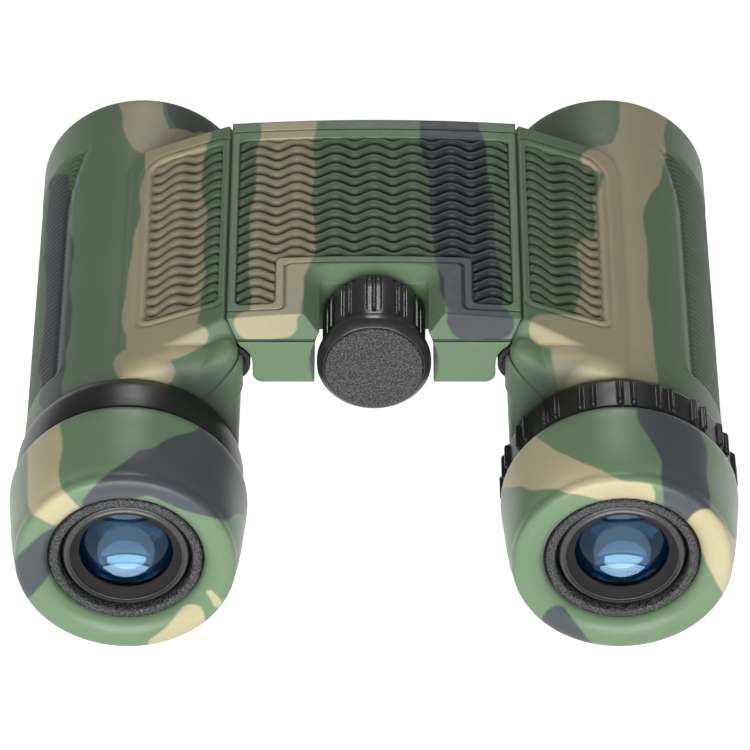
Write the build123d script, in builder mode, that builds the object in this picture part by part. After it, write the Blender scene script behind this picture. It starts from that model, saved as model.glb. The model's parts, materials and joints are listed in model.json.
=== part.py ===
from build123d import *
import os
from math import atan2, ceil, cos, degrees, floor, hypot, radians, sin, sqrt

# Compact double-hinge binoculars, in millimetres.  +Z is up, +Y looks out of the objectives and
# +X is the user's right.  The origin lies under the middle of the object, on the surface that the
# eyecups rest on.  Stations such as bridge_front are measured forward from the rear of the eyecups.

# ---- Overall layout ----
overall_length = 97.2
barrel_r = 16.3                # armoured barrel
armor_wall = 1.2
housing_wall = 1.9
running_gap = 0.3              # between soft or curved parts that move past each other
turning_gap = 0.05             # radial play of parts that turn or slide in a bore

# ---- Hinges ----
hinge_x = 22.1                 # hinge axis from the middle of the object
hinge_inset = 1.4              # hinge axis, outward of the barrel's inner side
hinge_drop = 0.3               # hinge axis below the height of the barrels' tops
tube_r = 2.75                  # hinge tube
rod_r = 1.5                    # focusing rod inside it
knuckle_wall = 0.7
seam_half_gap = 0.2
seam_offset = 0.3              # seam between bridge and barrel, outward of the hinge axis
seam_slant = 31.0              # lean of the seam towards the hinge, degrees from vertical
seam_share = 0.8               # leaning part of the seam, of its height above the hinge axis
notch_angle = -80.0            # underside of the barrel's hinge arm, degrees from outward
arm_share = 0.75               # length of that underside, of the hinge's height
tube_rear = 27.8
tube_inset = 0.2               # front end of the hinge, behind the bridge's front
tube_cap = 2.4                 # closed outer end of each tube
outer_knuckle = 9.0            # barrel's knuckle, at the outer end of each tube
knuckle_play = 0.3

# ---- Barrels ----
barrel_rear = 24.2
wing_slope = 20.0              # fall of the barrel's wing from the seam outwards, degrees
wing_rear = 27.5
wing_edge = 1.2                # outer edge of the wing's plate, outward of the barrel's axis
wing_edge_round = 0.5
wing_corner = 4.0              # front outer corner of the plate
nose_rear = 24.8               # rounded nose of the wing, behind the hinge tube
nose_r = 2.0
nose_taper = 30.0
bevel_start = 31.2             # where the flat tops of bridge and wings start to fall
rear_flare = 0.7               # swelling of the barrel towards the eyepiece
flare_length = 9.0
front_round = 1.6
mouth_step = 0.2               # the open mouth is wider than the housing's bore
mouth_depth = 4.3

# ---- Bridge ----
bridge_front = 80.8
bridge_rear = 28.5
tube_cover = 0.85              # bridge's wall below the hinge tubes
bevel_drop = 3.3               # fall of the bevelled rear ends
bridge_crown = 0.8             # swelling of the top between the seams
lobe_corner_r = 1.6
knob_clear = 1.05              # between the knob's rim and the scoop around it
knob_slot_front = 41.4
knob_slot_corner = 2.0
slot_chamfer = 2.3             # the slot widens by this much on its way up
slot_top_half = 10.8
cavity_side = 5.3              # wall between the cavity and the hinge axis
slot_wall = 1.7                # between the knob's slot and the cavity
bridge_front_wall = 1.8
bay_inset = 2.9                # bay between the hinge tubes, from the rear of the cavity
bay_length = 16.0
cavity_height = 7.6
cover_thickness = 0.8

# ---- Grip panels ----
panel_depth = 0.9
pad_thickness = 0.25           # ribbed pad on the floor of each panel
rib_height = 0.6
rib_width = 1.2
rib_pitch = 2.4
wave_length = 6.0
wave_height = 0.75             # each way from a rib's middle line
panel_front_rim = 4.4          # flat rim between a panel and the bridge's front
panel_rim = 1.4                # flat rim between a panel and the seam
panel_corner = 1.0
bridge_panel_rear = 34.0
panel_slot_half = 14.9         # the panel runs round the knob's slot
panel_slot_rim = 1.7           # flat rim between the panel and the slot's chamfer
wing_panel_rear = 36.0
wing_panel_width = 12.1
wing_panel_corner = 3.0
groove_offset = 1.2            # fine groove round each panel
groove_front_offset = 1.9
groove_width = 0.35
groove_depth = 0.35
side_grip_from = 43.0          # ribbed strip on the barrel's outer side, degrees from the top
side_grip_to = 112.0
side_grip_rear = 26.5
side_grip_front = 75.0
side_grip_depth = 0.5

# ---- Focusing ----
knob_rear = 27.0
knob_r = 7.9
knob_rim = 0.75                # rim stands out from the knob's body
knob_rim_width = 2.6
knob_rim_back = 0.5            # rim of the knob, forward of its face
knob_flutes = 12
knob_flute_width = 1.6
knob_flute_depth = 1.0
knob_play = 0.5                # between the knob and the front of its slot
knob_face_r = 7.3
knob_face_thickness = 0.9
spindle_r = 1.8
journal_hole = 3.0             # depth of the hole that its front journal runs in
bush_wall = 0.9
carriage_block = 6.0
carriage_half = 5.5
carriage_bar = 3.0
focus_travel = 2.5             # each way from the middle
fork_thickness = 1.4
fork_width = 3.0
fork_offset = 2.3              # focusing cell's rear face, forward of the carriage's middle
fork_play = 0.5                # beside the arm, and at each end of its travel
cell_length = 12.0
cell_wall = 1.6
focusing_lens_edge = 4.0
hollow_sag = 0.9
spindle_seat = 8.0
journal_r = 1.2
inner_knuckle = 8.6            # bridge's knuckle, next to the bay
lug_height = 4.4
lug_reach = 9.5
window_height = 5.2
frame_height = 6.2
frame_wall = 1.2
bay_play = 0.5                 # beyond the bay, at each end of the frame's pocket
carriage_below = 2.5
carriage_above = 3.4
eye_length = 4.0
rod_eye_r = 2.6
rod_collar = 1.2
rod_collar_r = 2.4
screw_x = 11.5
screw_rear_inset = 2.0         # from the ends of the bridge's cavity
screw_front_inset = 4.0
screw_r = 0.9
screw_length = 5.0
screw_head_r = 1.5
screw_head_height = 0.8

# ---- Prisms ----
cage_rear_gap = 2.2            # from the eyepiece tube
cage_front_gap = 2.3           # from the focusing cell at the end of its travel
prism_half = 7.4
prism_inset = 1.0
roof_lean = 5.0                # slant of the gap between the prisms, each way from its middle
half_lean = 0.6
prism_air = 0.4

# ---- Eyepieces ----
eyecup_length = 16.0
eyecup_swell = 1.8             # the eyecup stands out from the armoured barrel
collar_swell = 0.9
diopter_swell = 1.0
diopter_rib = 0.7              # height of the ribs, which stand in pairs
diopter_ribs = 18
diopter_rib_width = 0.8
diopter_rib_spread = 1.0       # each way from the middle of a pair
diopter_lip = 0.8
tube_step = 0.2                # the eyepiece tube is narrower than the housing's bore
tube_wall = 2.6
tube_mouth = 4.7
eyecup_wall = 2.8
guide_wall = 0.9
sleeve_floor = 1.2
eye_ring_width = 1.85
eye_gap = 0.5                  # between the bezel and the opening of the eyecup
bezel_step = 1.0
bezel_rear = 2.2
bezel_wall = 0.7
bezel_lip = 1.6
bezel_edge = 0.4
window_rim = 1.7               # the bezel's lip round the glass
guide_rear = 5.0
guide_front = 14.0
ring_station = 1.5
crest_inset = 3.7
waist_inset = 0.9
waist_station = 4.6
skirt_station = 13.6
skirt_taper = 0.3
bezel_seat = 1.3
tube_flange = 5.6
ocular_rear = 4.9
ocular_shoulder = 7.2
ocular_front = 22.0
nose_wall = 0.75
ocular_wall = 1.15
field_depth = 4.0              # seat of the field lens, from the front of its cell
ocular_edge = 3.0
eye_rear_sag = 0.7
eye_front_sag = 1.2
field_hollow = 0.3
field_dome = 0.8

# ---- Objectives ----
objective_seat = 85.0
objective_wall = 0.6
objective_rear = 87.0
objective_edge = 2.6
objective_sag = 1.3

# ---- Worked out ----
bore_r = barrel_r - armor_wall - housing_wall         # inside of the rigid barrel housing
mouth_r = bore_r + mouth_step
objective_r = bore_r - objective_wall
hinge_rise = barrel_r - hinge_drop
bridge_underside = hinge_rise - tube_r - tube_cover
eyecup_r = barrel_r + eyecup_swell
collar_r = barrel_r + collar_swell
diopter_r = barrel_r + diopter_swell
eyepiece_tube_r = bore_r - tube_step
eyepiece_bore_r = eyepiece_tube_r - tube_wall
guide_r = eyepiece_tube_r + turning_gap + guide_wall
sleeve_bore_r = guide_r + turning_gap
sleeve_r = eyecup_r - eyecup_wall
bezel_r = eyepiece_bore_r - bezel_step
eye_opening_r = bezel_r + eye_gap
eye_ring_r = eye_opening_r + eye_ring_width
lens_window_r = bezel_r - bezel_wall - window_rim
ocular_nose_r = bezel_r - bezel_wall - turning_gap
nose_bore = ocular_nose_r - nose_wall
ocular_r = eyepiece_bore_r - turning_gap
ocular_bore = ocular_r - ocular_wall
crest_r = eyecup_r - crest_inset
waist_r = eyecup_r - waist_inset
knuckle_r = tube_r + knuckle_wall
knob_rim_r = knob_r + knob_rim
bush_r = spindle_r + bush_wall
seam_x = hinge_x + seam_offset
barrel_x = hinge_x + barrel_r - hinge_inset          # half the spacing of the eyes, barrels open
axis_z = eyecup_r
eye_y = -overall_length / 2
hinge_z = axis_z + hinge_rise
hinge_u = hinge_x - barrel_x                 # hinge, seen from the barrel axis
seam_u = seam_x - barrel_x
hinge_clear = knuckle_r + running_gap
cavity_half = hinge_x - cavity_side
cavity_rear = knob_slot_front + slot_wall
cavity_front = bridge_front - bridge_front_wall
rear_bay = cavity_rear + bay_inset           # bay between the tubes, where the rods are driven
front_bay = rear_bay + bay_length
tube_front = bridge_front - tube_inset
carriage_station = (rear_bay + front_bay) / 2
spindle_front = front_bay + journal_hole
panel_front = bridge_front - panel_front_rim
panel_slot_front = knob_slot_front + slot_chamfer + panel_slot_rim
tube_flange_front = barrel_rear + tube_flange
armor_front = overall_length - mouth_depth
forward = (0, 1, 0)
screw_stations = (cavity_rear + screw_rear_inset, cavity_front - screw_front_inset)
screw_spots = [(x, eye_y + y) for x in (-screw_x, screw_x) for y in screw_stations]

os.makedirs("parts", exist_ok=True)


def across(station, x=0.0, z=axis_z):
    """Cross-section plane at a station: local x is +X and local y is up."""
    return Plane(origin=(x, eye_y + station, z), x_dir=(1, 0, 0), z_dir=(0, -1, 0))


def along(x=barrel_x, z=axis_z):
    """Plane that holds a barrel's axis: local x is the radius and local y the station."""
    return Plane(origin=(x, eye_y, z), x_dir=(1, 0, 0), z_dir=(0, 0, 1))


def axis_of(x=barrel_x, z=axis_z):
    return Axis((x, eye_y, z), forward)


def save(part, label):
    part.label = label
    export_step(part, f"parts/{label}.step")


def save_pair(name, right):
    """Write the right-hand piece and its mirror image on the left barrel."""
    with BuildPart() as left:
        mirror(right.part, about=Plane.YZ)
    save(right.part, f"right_{name}")
    save(left.part, f"left_{name}")


def ring(outer_r, inner_r, start, end, x=barrel_x, z=axis_z):
    """Plain ring about a barrel's axis, or about another axis parallel to it."""
    with BuildPart() as body:
        with BuildSketch(across(start, x, z)):
            Circle(outer_r)
            if inner_r > 0:
                Circle(inner_r, mode=Mode.SUBTRACT)
        extrude(amount=end - start, dir=forward)
    return body


def turned(points, x=barrel_x, z=axis_z):
    """Solid of revolution from a closed outline of (radius, station) points."""
    with BuildPart() as body:
        with BuildSketch(along(x, z)):
            with BuildLine():
                Polyline(*points, close=True)
            make_face()
        revolve(axis=axis_of(x, z))
    return body


# ---- Barrel shell: a round barrel with a wing that reaches up to the hinge ----
slope = radians(wing_slope)
lean = radians(seam_slant)
wing_top = (barrel_r - seam_u * sin(slope)) / cos(slope)      # top of the seam above the barrel axis
hinge_local = (hinge_u, hinge_rise)


def wing_outline(inset):
    """Wing seen along the barrel: sloping top, seam face and underside of the hinge arm."""
    radius = barrel_r - inset
    top_u = seam_u + seam_half_gap + inset
    top_w = (radius - top_u * sin(slope)) / cos(slope)
    fall = seam_share * (top_w - hinge_rise)
    under = radians(notch_angle)
    arm = arm_share * hinge_rise
    edge = wing_edge - inset
    with BuildSketch() as outline:
        with BuildLine():
            Polyline(
                (edge, (radius - edge * sin(slope)) / cos(slope) - wing_edge_round),
                (edge - wing_edge_round, (radius - (edge - wing_edge_round) * sin(slope)) / cos(slope)),
                (top_u, top_w),
                (top_u - fall * sin(lean) / cos(lean), top_w - fall),
                (hinge_u + inset, hinge_rise),
                (hinge_u + inset + arm * cos(under), hinge_rise + arm * sin(under)),
                (0, 0),
                close=True,
            )
        make_face()
    return outline.sketch


def bevel(top, x_from, x_to):
    """Wedge that comes off above the sloping rear end of a top surface."""
    run = bevel_start - bridge_rear
    side = Plane(origin=(x_from, eye_y, axis_z), x_dir=(0, 1, 0), z_dir=(1, 0, 0))
    with BuildPart() as wedge:
        with BuildSketch(side):
            with BuildLine():
                Polyline(
                    (bevel_start, top),
                    (bevel_start - run, top - bevel_drop),
                    (bevel_start - 3 * run, top - bevel_drop),
                    (bevel_start - 3 * run, top + bevel_drop),
                    (bevel_start, top + bevel_drop),
                    close=True,
                )
            make_face()
        extrude(amount=x_to - x_from)
    return wedge.part


def wing_block(inset):
    """The wing, with the front outer corner of its plate rounded in plan."""
    length = bridge_front - wing_rear - 2 * inset
    reach = barrel_x + wing_edge - inset
    with BuildPart() as block:
        with BuildSketch(across(wing_rear + inset, barrel_x)):
            add(wing_outline(inset))
        extrude(amount=length, dir=forward)
        with BuildSketch(Plane.XY.offset(axis_z)) as plan:
            with Locations((reach / 2, eye_y + wing_rear + inset + length / 2)):
                Rectangle(reach, length)
            outer = plan.vertices().sort_by(Axis.X)[2:]
            fillet(outer.sort_by(Axis.Y)[-1], wing_corner - inset)
        extrude(amount=2 * wing_top, both=True, mode=Mode.INTERSECT)
    return block.part


def barrel_form(inset):
    """The barrel's outer form drawn in by an inset, with no bore and no hinge cuts."""
    radius = barrel_r - inset
    front = overall_length if inset == 0 else armor_front
    rounding = front_round if inset == 0 else front_round / 4
    with BuildPart() as form:
        with BuildSketch(along()):
            with BuildLine():
                rear = Line((0, barrel_rear), (radius + rear_flare, barrel_rear))
                flare = Spline(
                    rear @ 1,
                    (radius, barrel_rear + flare_length),
                    tangents=((-0.1, 1), (0, 1)),
                )
                side = Line(flare @ 1, (radius, front - rounding))
                corner = RadiusArc(side @ 1, (radius - rounding, front), rounding)
                end = Line(corner @ 1, (0, front))
                Line(end @ 1, rear @ 0)
            make_face()
        revolve(axis=axis_of())
        add(wing_block(inset))
        add(bevel(wing_top - inset, 0, barrel_x + wing_edge), mode=Mode.SUBTRACT)
        with BuildSketch(across(wing_rear, barrel_x)):
            with Locations(hinge_local):
                Circle(nose_r - inset / 2)
            Circle(barrel_r - inset)
            make_hull()
        extrude(amount=-(wing_rear - nose_rear - inset), dir=forward, taper=nose_taper)
    return form


outer_form = barrel_form(0)
inner_form = barrel_form(armor_wall)


def hinge_cut(start, end, radius):
    """Cylinder about the hinge axis."""
    return ring(radius, 0, start, end, hinge_x, hinge_z).part


with BuildPart() as hinge_skin:
    add(outer_form.part)
    add(hinge_cut(wing_rear, bridge_front, hinge_clear + armor_wall), mode=Mode.INTERSECT)

with BuildPart() as core:
    add(inner_form.part)
    add(hinge_skin.part)

# Rubber armour: a skin over the rigid housing, turned in at the front to make the objective's mouth.
wing_plane = Plane(
    origin=(barrel_x + barrel_r * sin(slope), eye_y, axis_z + barrel_r * cos(slope)),
    x_dir=(cos(slope), 0, -sin(slope)),
    z_dir=(sin(slope), 0, cos(slope)),
)
wing_reach = (barrel_r * sin(slope) - seam_u) / cos(slope)    # down the slope, seam to barrel


def wing_panel(depth, thickness, margin=0.0, front_margin=0.0):
    """Flat panel let into the top of the wing, its face a depth below the surface."""
    inner = wing_reach - panel_rim + margin
    outer = wing_reach - panel_rim - wing_panel_width - margin
    rear = wing_panel_rear - margin
    front = panel_front + front_margin
    with BuildPart() as panel:
        with BuildSketch(wing_plane.offset(-depth)) as outline:
            with Locations((-(inner + outer) / 2, (rear + front) / 2)):
                Rectangle(inner - outer, front - rear)
            outer_side = outline.vertices().sort_by(Axis.X)[2:]
            fillet(outer_side.sort_by(Axis.Y)[-1], wing_panel_corner + margin)
            fillet(outer_side.sort_by(Axis.Y)[0], panel_corner + margin)
        extrude(amount=-thickness)
    return panel


def wave(middle, x_from, x_to):
    """One rib in plan: a band that rises and falls along local x, in straight runs."""
    step = wave_length / 4
    first = floor(x_from / wave_length)
    turns = []
    for turn in range(4 * first, 4 * ceil(x_to / wave_length) + 1):
        rise = wave_height if turn % 4 in (0, 1) else -wave_height
        turns.append(((turn - 0.5) * step, middle + rise))
    low = [(x, y - rib_width / 2) for x, y in turns]
    high = [(x, y + rib_width / 2) for x, y in reversed(turns)]
    with BuildSketch() as band:
        with BuildLine():
            Polyline(*low, *high, close=True)
        make_face()
    return band.sketch


def waves(x_from, x_to, rear, front):
    """All the ribs of a panel, in a sketch of its width."""
    rows = round((front - rear) / rib_pitch)
    first = (rear + front - (rows - 1) * rib_pitch) / 2
    with BuildSketch() as bands:
        for row in range(rows):
            add(wave(first + row * rib_pitch, x_from, x_to))
    return bands.sketch


def side_grip(start, end, outer_r, inner_r):
    """Strip of a cylinder on the barrel's outer side, between two angles from the top."""
    far = 2 * barrel_r
    first = radians(90 - side_grip_from)
    last = radians(90 - side_grip_to)
    middle = (first + last) / 2
    corners = [(far * cos(angle), far * sin(angle)) for angle in (first, middle, last)]
    with BuildPart() as strip:
        add(ring(outer_r, inner_r, start, end).part)
        with BuildSketch(across(start, barrel_x)):
            with BuildLine():
                Polyline((0, 0), *corners, close=True)
            make_face()
        extrude(amount=end - start, dir=forward, mode=Mode.INTERSECT)
    return strip


with BuildPart() as armor:
    add(outer_form.part)
    add(core.part, mode=Mode.SUBTRACT)
    add(hinge_cut(wing_rear, bridge_front, hinge_clear), mode=Mode.SUBTRACT)
    add(ring(mouth_r, 0, armor_front, overall_length).part, mode=Mode.SUBTRACT)
    add(wing_panel(-panel_depth, 2 * panel_depth).part, mode=Mode.SUBTRACT)
    with BuildPart() as groove:
        outer_margin = groove_offset + groove_width
        add(wing_panel(-groove_depth, 2 * groove_depth, outer_margin, outer_margin).part)
        inner_groove = wing_panel(-panel_depth, 2 * panel_depth, groove_offset, groove_offset)
        add(inner_groove.part, mode=Mode.SUBTRACT)
    add(groove.part, mode=Mode.SUBTRACT)
    beyond = barrel_r + 2 * rear_flare
    recess = side_grip(side_grip_rear, side_grip_front, beyond, barrel_r - side_grip_depth)
    add(recess.part, mode=Mode.SUBTRACT)
save_pair("barrel_armor", armor)

with BuildPart() as wing_pad:
    add(wing_panel(panel_depth - pad_thickness, pad_thickness).part)
    with BuildPart() as ribs:
        with BuildSketch(wing_plane.offset(pad_thickness - panel_depth)):
            add(waves(-wing_reach, 0, wing_panel_rear, panel_front))
        extrude(amount=rib_height)
        add(wing_panel(-panel_depth, 2 * panel_depth).part, mode=Mode.INTERSECT)
    add(ribs.part)
save_pair("wing_grip", wing_pad)

side_pad = side_grip(
    side_grip_rear,
    side_grip_front,
    barrel_r - side_grip_depth / 3,
    barrel_r - side_grip_depth,
)
save_pair("side_grip", side_pad)

# Rigid housing: bored for the optics, with a knuckle at the outer end of each hinge tube and a
# slot through which the focusing cell's arm reaches the rod inside the hinge.
rear_knuckle = (tube_rear + 2 * knuckle_play, tube_rear + outer_knuckle)
front_knuckle = (tube_front - outer_knuckle, tube_front - knuckle_play)
arm_angle = degrees(atan2(-hinge_rise, barrel_x - hinge_x))
arm_reach = hypot(hinge_rise, barrel_x - hinge_x)
cell_rear = carriage_station + fork_offset
cell_travel = focus_travel + fork_play
arm_plane = Plane(
    origin=(hinge_x, eye_y, hinge_z),
    x_dir=(cos(radians(arm_angle)), 0, sin(radians(arm_angle))),
    z_dir=(-sin(radians(arm_angle)), 0, cos(radians(arm_angle))),
)


def arm_block(width, start, end, x_from, x_to):
    """Bar from the hinge axis towards the barrel's axis."""
    with BuildPart() as bar:
        with BuildSketch(arm_plane):
            with Locations(((x_from + x_to) / 2, (start + end) / 2)):
                Rectangle(x_to - x_from, end - start)
        extrude(amount=width / 2, both=True)
    return bar.part


def barrel_knuckle(start, end):
    with BuildPart() as knuckle:
        with BuildSketch(across(start, barrel_x)):
            add(wing_outline(0))
            with Locations(hinge_local):
                Circle(hinge_clear + armor_wall / 2, mode=Mode.INTERSECT)
                Circle(knuckle_r)
                Circle(tube_r + turning_gap, mode=Mode.SUBTRACT)
        extrude(amount=end - start, dir=forward)
    return knuckle.part


with BuildPart() as housing:
    add(core.part)
    add(hinge_cut(wing_rear, bridge_front, hinge_clear), mode=Mode.SUBTRACT)
    add(ring(bore_r, 0, barrel_rear, armor_front).part, mode=Mode.SUBTRACT)
    slot = arm_block(
        fork_width + 2 * fork_play,
        cell_rear - cell_travel,
        cell_rear + fork_thickness + cell_travel,
        0,
        arm_reach,
    )
    add(slot, mode=Mode.SUBTRACT)
    add(barrel_knuckle(*rear_knuckle))
    add(barrel_knuckle(*front_knuckle))
save_pair("barrel_housing", housing)

# ---- Hinge tubes: fixed in the bridge frame, closed at their outer ends ----
for name, start, end, bore_start, bore_end in (
    ("rear_hinge_tube", tube_rear, rear_bay, tube_rear + tube_cap, rear_bay),
    ("front_hinge_tube", front_bay, tube_front, front_bay, tube_front - tube_cap),
):
    with BuildPart() as tube:
        add(hinge_cut(start, end, tube_r))
        add(hinge_cut(bore_start, bore_end, rod_r + turning_gap), mode=Mode.SUBTRACT)
    save_pair(name, tube)

# ---- Bridge: a crowned shell whose rear splits into two lobes beside the focusing knob ----
bridge_top = axis_z + wing_top
scoop_r = knob_rim_r + knob_clear


def bridge_form():
    top_x = seam_x - seam_half_gap
    fall = seam_share * (wing_top - hinge_rise)
    side_x = hinge_x - hinge_clear
    with BuildPart() as form:
        with BuildSketch(across(bridge_rear, 0)) as section:
            with BuildLine():
                crown = ThreePointArc(
                    (-top_x, wing_top), (0, wing_top + bridge_crown), (top_x, wing_top)
                )
                Polyline(
                    crown @ 1,
                    (top_x - fall * sin(lean) / cos(lean), wing_top - fall),
                    (hinge_x, hinge_rise),
                    (side_x, hinge_rise),
                    (side_x, bridge_underside),
                    (-side_x, bridge_underside),
                    (-side_x, hinge_rise),
                    (-hinge_x, hinge_rise),
                    (-top_x + fall * sin(lean) / cos(lean), wing_top - fall),
                    crown @ 0,
                )
            make_face()
            with Locations((hinge_x, hinge_rise), (-hinge_x, hinge_rise)):
                Circle(hinge_clear, mode=Mode.SUBTRACT)
            low = section.vertices().group_by(Axis.Y)[0]
            fillet(low, lobe_corner_r)
        extrude(amount=bridge_front - bridge_rear, dir=forward)
        add(bevel(wing_top + bridge_crown / 2, -seam_x, seam_x), mode=Mode.SUBTRACT)
        add(ring(scoop_r, 0, bridge_rear, knob_slot_front, 0, hinge_z).part, mode=Mode.SUBTRACT)
        with BuildSketch(Plane.XY.offset(bridge_top + bridge_crown)):
            with Locations((0, eye_y + knob_slot_front + slot_chamfer - knob_slot_front / 2)):
                RectangleRounded(2 * slot_top_half, knob_slot_front, knob_slot_corner + slot_chamfer)
        extrude(amount=-slot_chamfer, taper=45, mode=Mode.SUBTRACT)
    return form


form = bridge_form()
lug_mid = hinge_x - lug_reach / 2
cavity_floor = axis_z + bridge_underside
cavity_mid = eye_y + (cavity_rear + cavity_front) / 2
cavity_length = cavity_front - cavity_rear


def panel_outline(margin=0.0, front_margin=0.0, side_margin=0.0):
    """U-shaped outline of the bridge's grip panel, round the slot for the knob."""
    half = seam_x - panel_rim + side_margin
    rear = bridge_panel_rear - margin
    front = panel_front + front_margin
    slot_front = panel_slot_front - margin
    with BuildSketch() as outline:
        with Locations((0, eye_y + (rear + front) / 2)):
            Rectangle(2 * half, front - rear)
        with Locations((0, eye_y + (rear + slot_front) / 2)):
            Rectangle(2 * (panel_slot_half - margin), slot_front - rear, mode=Mode.SUBTRACT)
        fillet(outline.vertices(), panel_corner)
    return outline.sketch


def top_skin(depth, thickness):
    """The part of the crowned top between two depths."""
    radius = (seam_x ** 2 + bridge_crown ** 2) / (2 * bridge_crown)
    centre_z = bridge_top + bridge_crown - radius
    outer_r = radius - depth
    return ring(outer_r, outer_r - thickness, bridge_rear, bridge_front, 0, centre_z).part


def on_top(outline, depth, thickness):
    """An outline in plan, raised or cut between two depths below the crowned top."""
    with BuildPart() as slab:
        with BuildSketch(Plane.XY.offset(bridge_top - bridge_crown - panel_depth)):
            add(outline)
        extrude(amount=3 * bridge_crown + 2 * panel_depth)
        add(top_skin(depth, thickness), mode=Mode.INTERSECT)
    return slab.part


with BuildSketch() as groove_outline:
    add(panel_outline(groove_offset + groove_width, groove_front_offset + groove_width, 2 * panel_rim))
    add(panel_outline(groove_offset, groove_front_offset, 2 * panel_rim), mode=Mode.SUBTRACT)

with BuildPart() as bridge_shell:
    add(form.part)
    with BuildSketch(Plane.XY.offset(cavity_floor)):
        with Locations((0, cavity_mid)):
            Rectangle(2 * cavity_half, cavity_length)
    extrude(amount=cover_thickness + cavity_height, mode=Mode.SUBTRACT)
    with BuildSketch(across(rear_bay - inner_knuckle, 0, hinge_z)):
        with Locations((lug_mid, 0), (-lug_mid, 0)):
            Rectangle(lug_reach, window_height)
    extrude(amount=front_bay - rear_bay + 2 * inner_knuckle, dir=forward, mode=Mode.SUBTRACT)
    with BuildSketch(across(knob_slot_front, 0, hinge_z)):
        Circle(bush_r)
    extrude(amount=cavity_rear - knob_slot_front, dir=forward, mode=Mode.SUBTRACT)
    add(on_top(panel_outline(), -panel_depth, 2 * panel_depth), mode=Mode.SUBTRACT)
    add(on_top(groove_outline.sketch, -groove_depth, 2 * groove_depth), mode=Mode.SUBTRACT)
save(bridge_shell.part, "bridge_shell")

with BuildPart() as bridge_pad:
    add(on_top(panel_outline(), panel_depth - pad_thickness, pad_thickness))
    with BuildSketch() as rib_outline:
        with Locations((0, eye_y)):
            add(waves(-seam_x, seam_x, bridge_panel_rear, panel_front))
        add(panel_outline(), mode=Mode.INTERSECT)
    add(on_top(rib_outline.sketch, panel_depth - pad_thickness - rib_height, rib_height))
save(bridge_pad.part, "bridge_grip")

frame_floor = cavity_floor + cover_thickness
pocket_rear = rear_bay - bay_play
pocket_front = front_bay + bay_play
with BuildPart() as frame:
    with BuildSketch(Plane.XY.offset(frame_floor)):
        with Locations((0, cavity_mid)):
            Rectangle(2 * cavity_half, cavity_length)
        with Locations((0, eye_y + (pocket_rear + pocket_front) / 2)):
            Rectangle(
                2 * (cavity_half - frame_wall), pocket_front - pocket_rear, mode=Mode.SUBTRACT
            )
    extrude(amount=frame_height)
    for start in (rear_bay - inner_knuckle, front_bay):
        with BuildSketch(across(start, 0, hinge_z)):
            with Locations((lug_mid, 0), (-lug_mid, 0)):
                Rectangle(lug_reach, lug_height)
            with Locations((hinge_x, 0), (-hinge_x, 0)):
                Circle(knuckle_r)
        extrude(amount=inner_knuckle, dir=forward)
        with BuildSketch(across(start, 0, hinge_z)):
            with Locations((hinge_x, 0), (-hinge_x, 0)):
                Circle(tube_r)
        extrude(amount=inner_knuckle, dir=forward, mode=Mode.SUBTRACT)
    with BuildSketch(across(rear_bay, 0, hinge_z)):
        Rectangle(3 * hinge_x, window_height)
    extrude(amount=front_bay - rear_bay, dir=forward, mode=Mode.SUBTRACT)
    add(ring(bush_r, 0, cavity_rear, pocket_rear, 0, hinge_z).part, mode=Mode.SUBTRACT)
    add(
        ring(journal_r + turning_gap, 0, front_bay, spindle_front, 0, hinge_z).part,
        mode=Mode.SUBTRACT,
    )
    with BuildSketch(Plane.XY.offset(frame_floor)):
        with Locations(*screw_spots):
            Circle(screw_r)
    extrude(amount=screw_length - cover_thickness, mode=Mode.SUBTRACT)
save(frame.part, "bridge_frame")

with BuildPart() as cover:
    with BuildSketch(Plane.XY.offset(cavity_floor)):
        with Locations((0, cavity_mid)):
            Rectangle(2 * cavity_half, cavity_length)
    extrude(amount=cover_thickness)
    with BuildSketch(Plane.XY.offset(cavity_floor)):
        with Locations(*screw_spots):
            Circle(screw_head_r)
    extrude(amount=screw_head_height, mode=Mode.SUBTRACT)
save(cover.part, "bridge_bottom_cover")

with BuildPart() as screws:
    with BuildSketch(Plane.XY.offset(cavity_floor)):
        with Locations(*screw_spots):
            Circle(screw_head_r)
    extrude(amount=screw_head_height)
    with BuildSketch(Plane.XY.offset(cavity_floor)):
        with Locations(*screw_spots):
            Circle(screw_r)
    extrude(amount=screw_length)
    with BuildSketch(Plane.XY.offset(cavity_floor)):
        with Locations(*screw_spots):
            RegularPolygon(0.6 * screw_r, 6)
    extrude(amount=screw_head_height / 2, mode=Mode.SUBTRACT)
save(screws.part, "bridge_screws")

# ---- Focusing drive: knob, threaded spindle, and a carriage that pushes a rod inside each hinge ----
bush = ring(bush_r, spindle_r + turning_gap, knob_slot_front, pocket_rear, 0, hinge_z)
save(bush.part, "focus_bush")

knob_front = knob_slot_front - knob_play
flute_start = knob_rear + knob_rim_back + knob_rim_width + knob_flute_depth
with BuildPart() as knob:
    with BuildSketch(across(knob_rear, 0, hinge_z)):
        Circle(knob_r)
    extrude(amount=knob_front - knob_rear, dir=forward)
    with BuildSketch(across(knob_rear + knob_rim_back, 0, hinge_z)):
        Circle(knob_rim_r)
    extrude(amount=knob_rim_width, dir=forward)
    with BuildSketch(across(knob_rear, 0, hinge_z)):
        Circle(knob_face_r)
    extrude(amount=knob_face_thickness, dir=forward, mode=Mode.SUBTRACT)
    with BuildSketch(across(flute_start, 0, hinge_z)):
        with PolarLocations(knob_r, knob_flutes, start_angle=90):
            Rectangle(2 * knob_flute_depth, knob_flute_width)
    extrude(amount=knob_front - flute_start, dir=forward, mode=Mode.SUBTRACT)
    with BuildSketch(across(knob_front - spindle_seat, 0, hinge_z)):
        Circle(spindle_r)
    extrude(amount=spindle_seat, dir=forward, mode=Mode.SUBTRACT)
save(knob.part, "focus_knob")
knob_cap = ring(knob_face_r, 0, knob_rear, knob_rear + knob_face_thickness, 0, hinge_z)
save(knob_cap.part, "focus_knob_cap")

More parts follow.
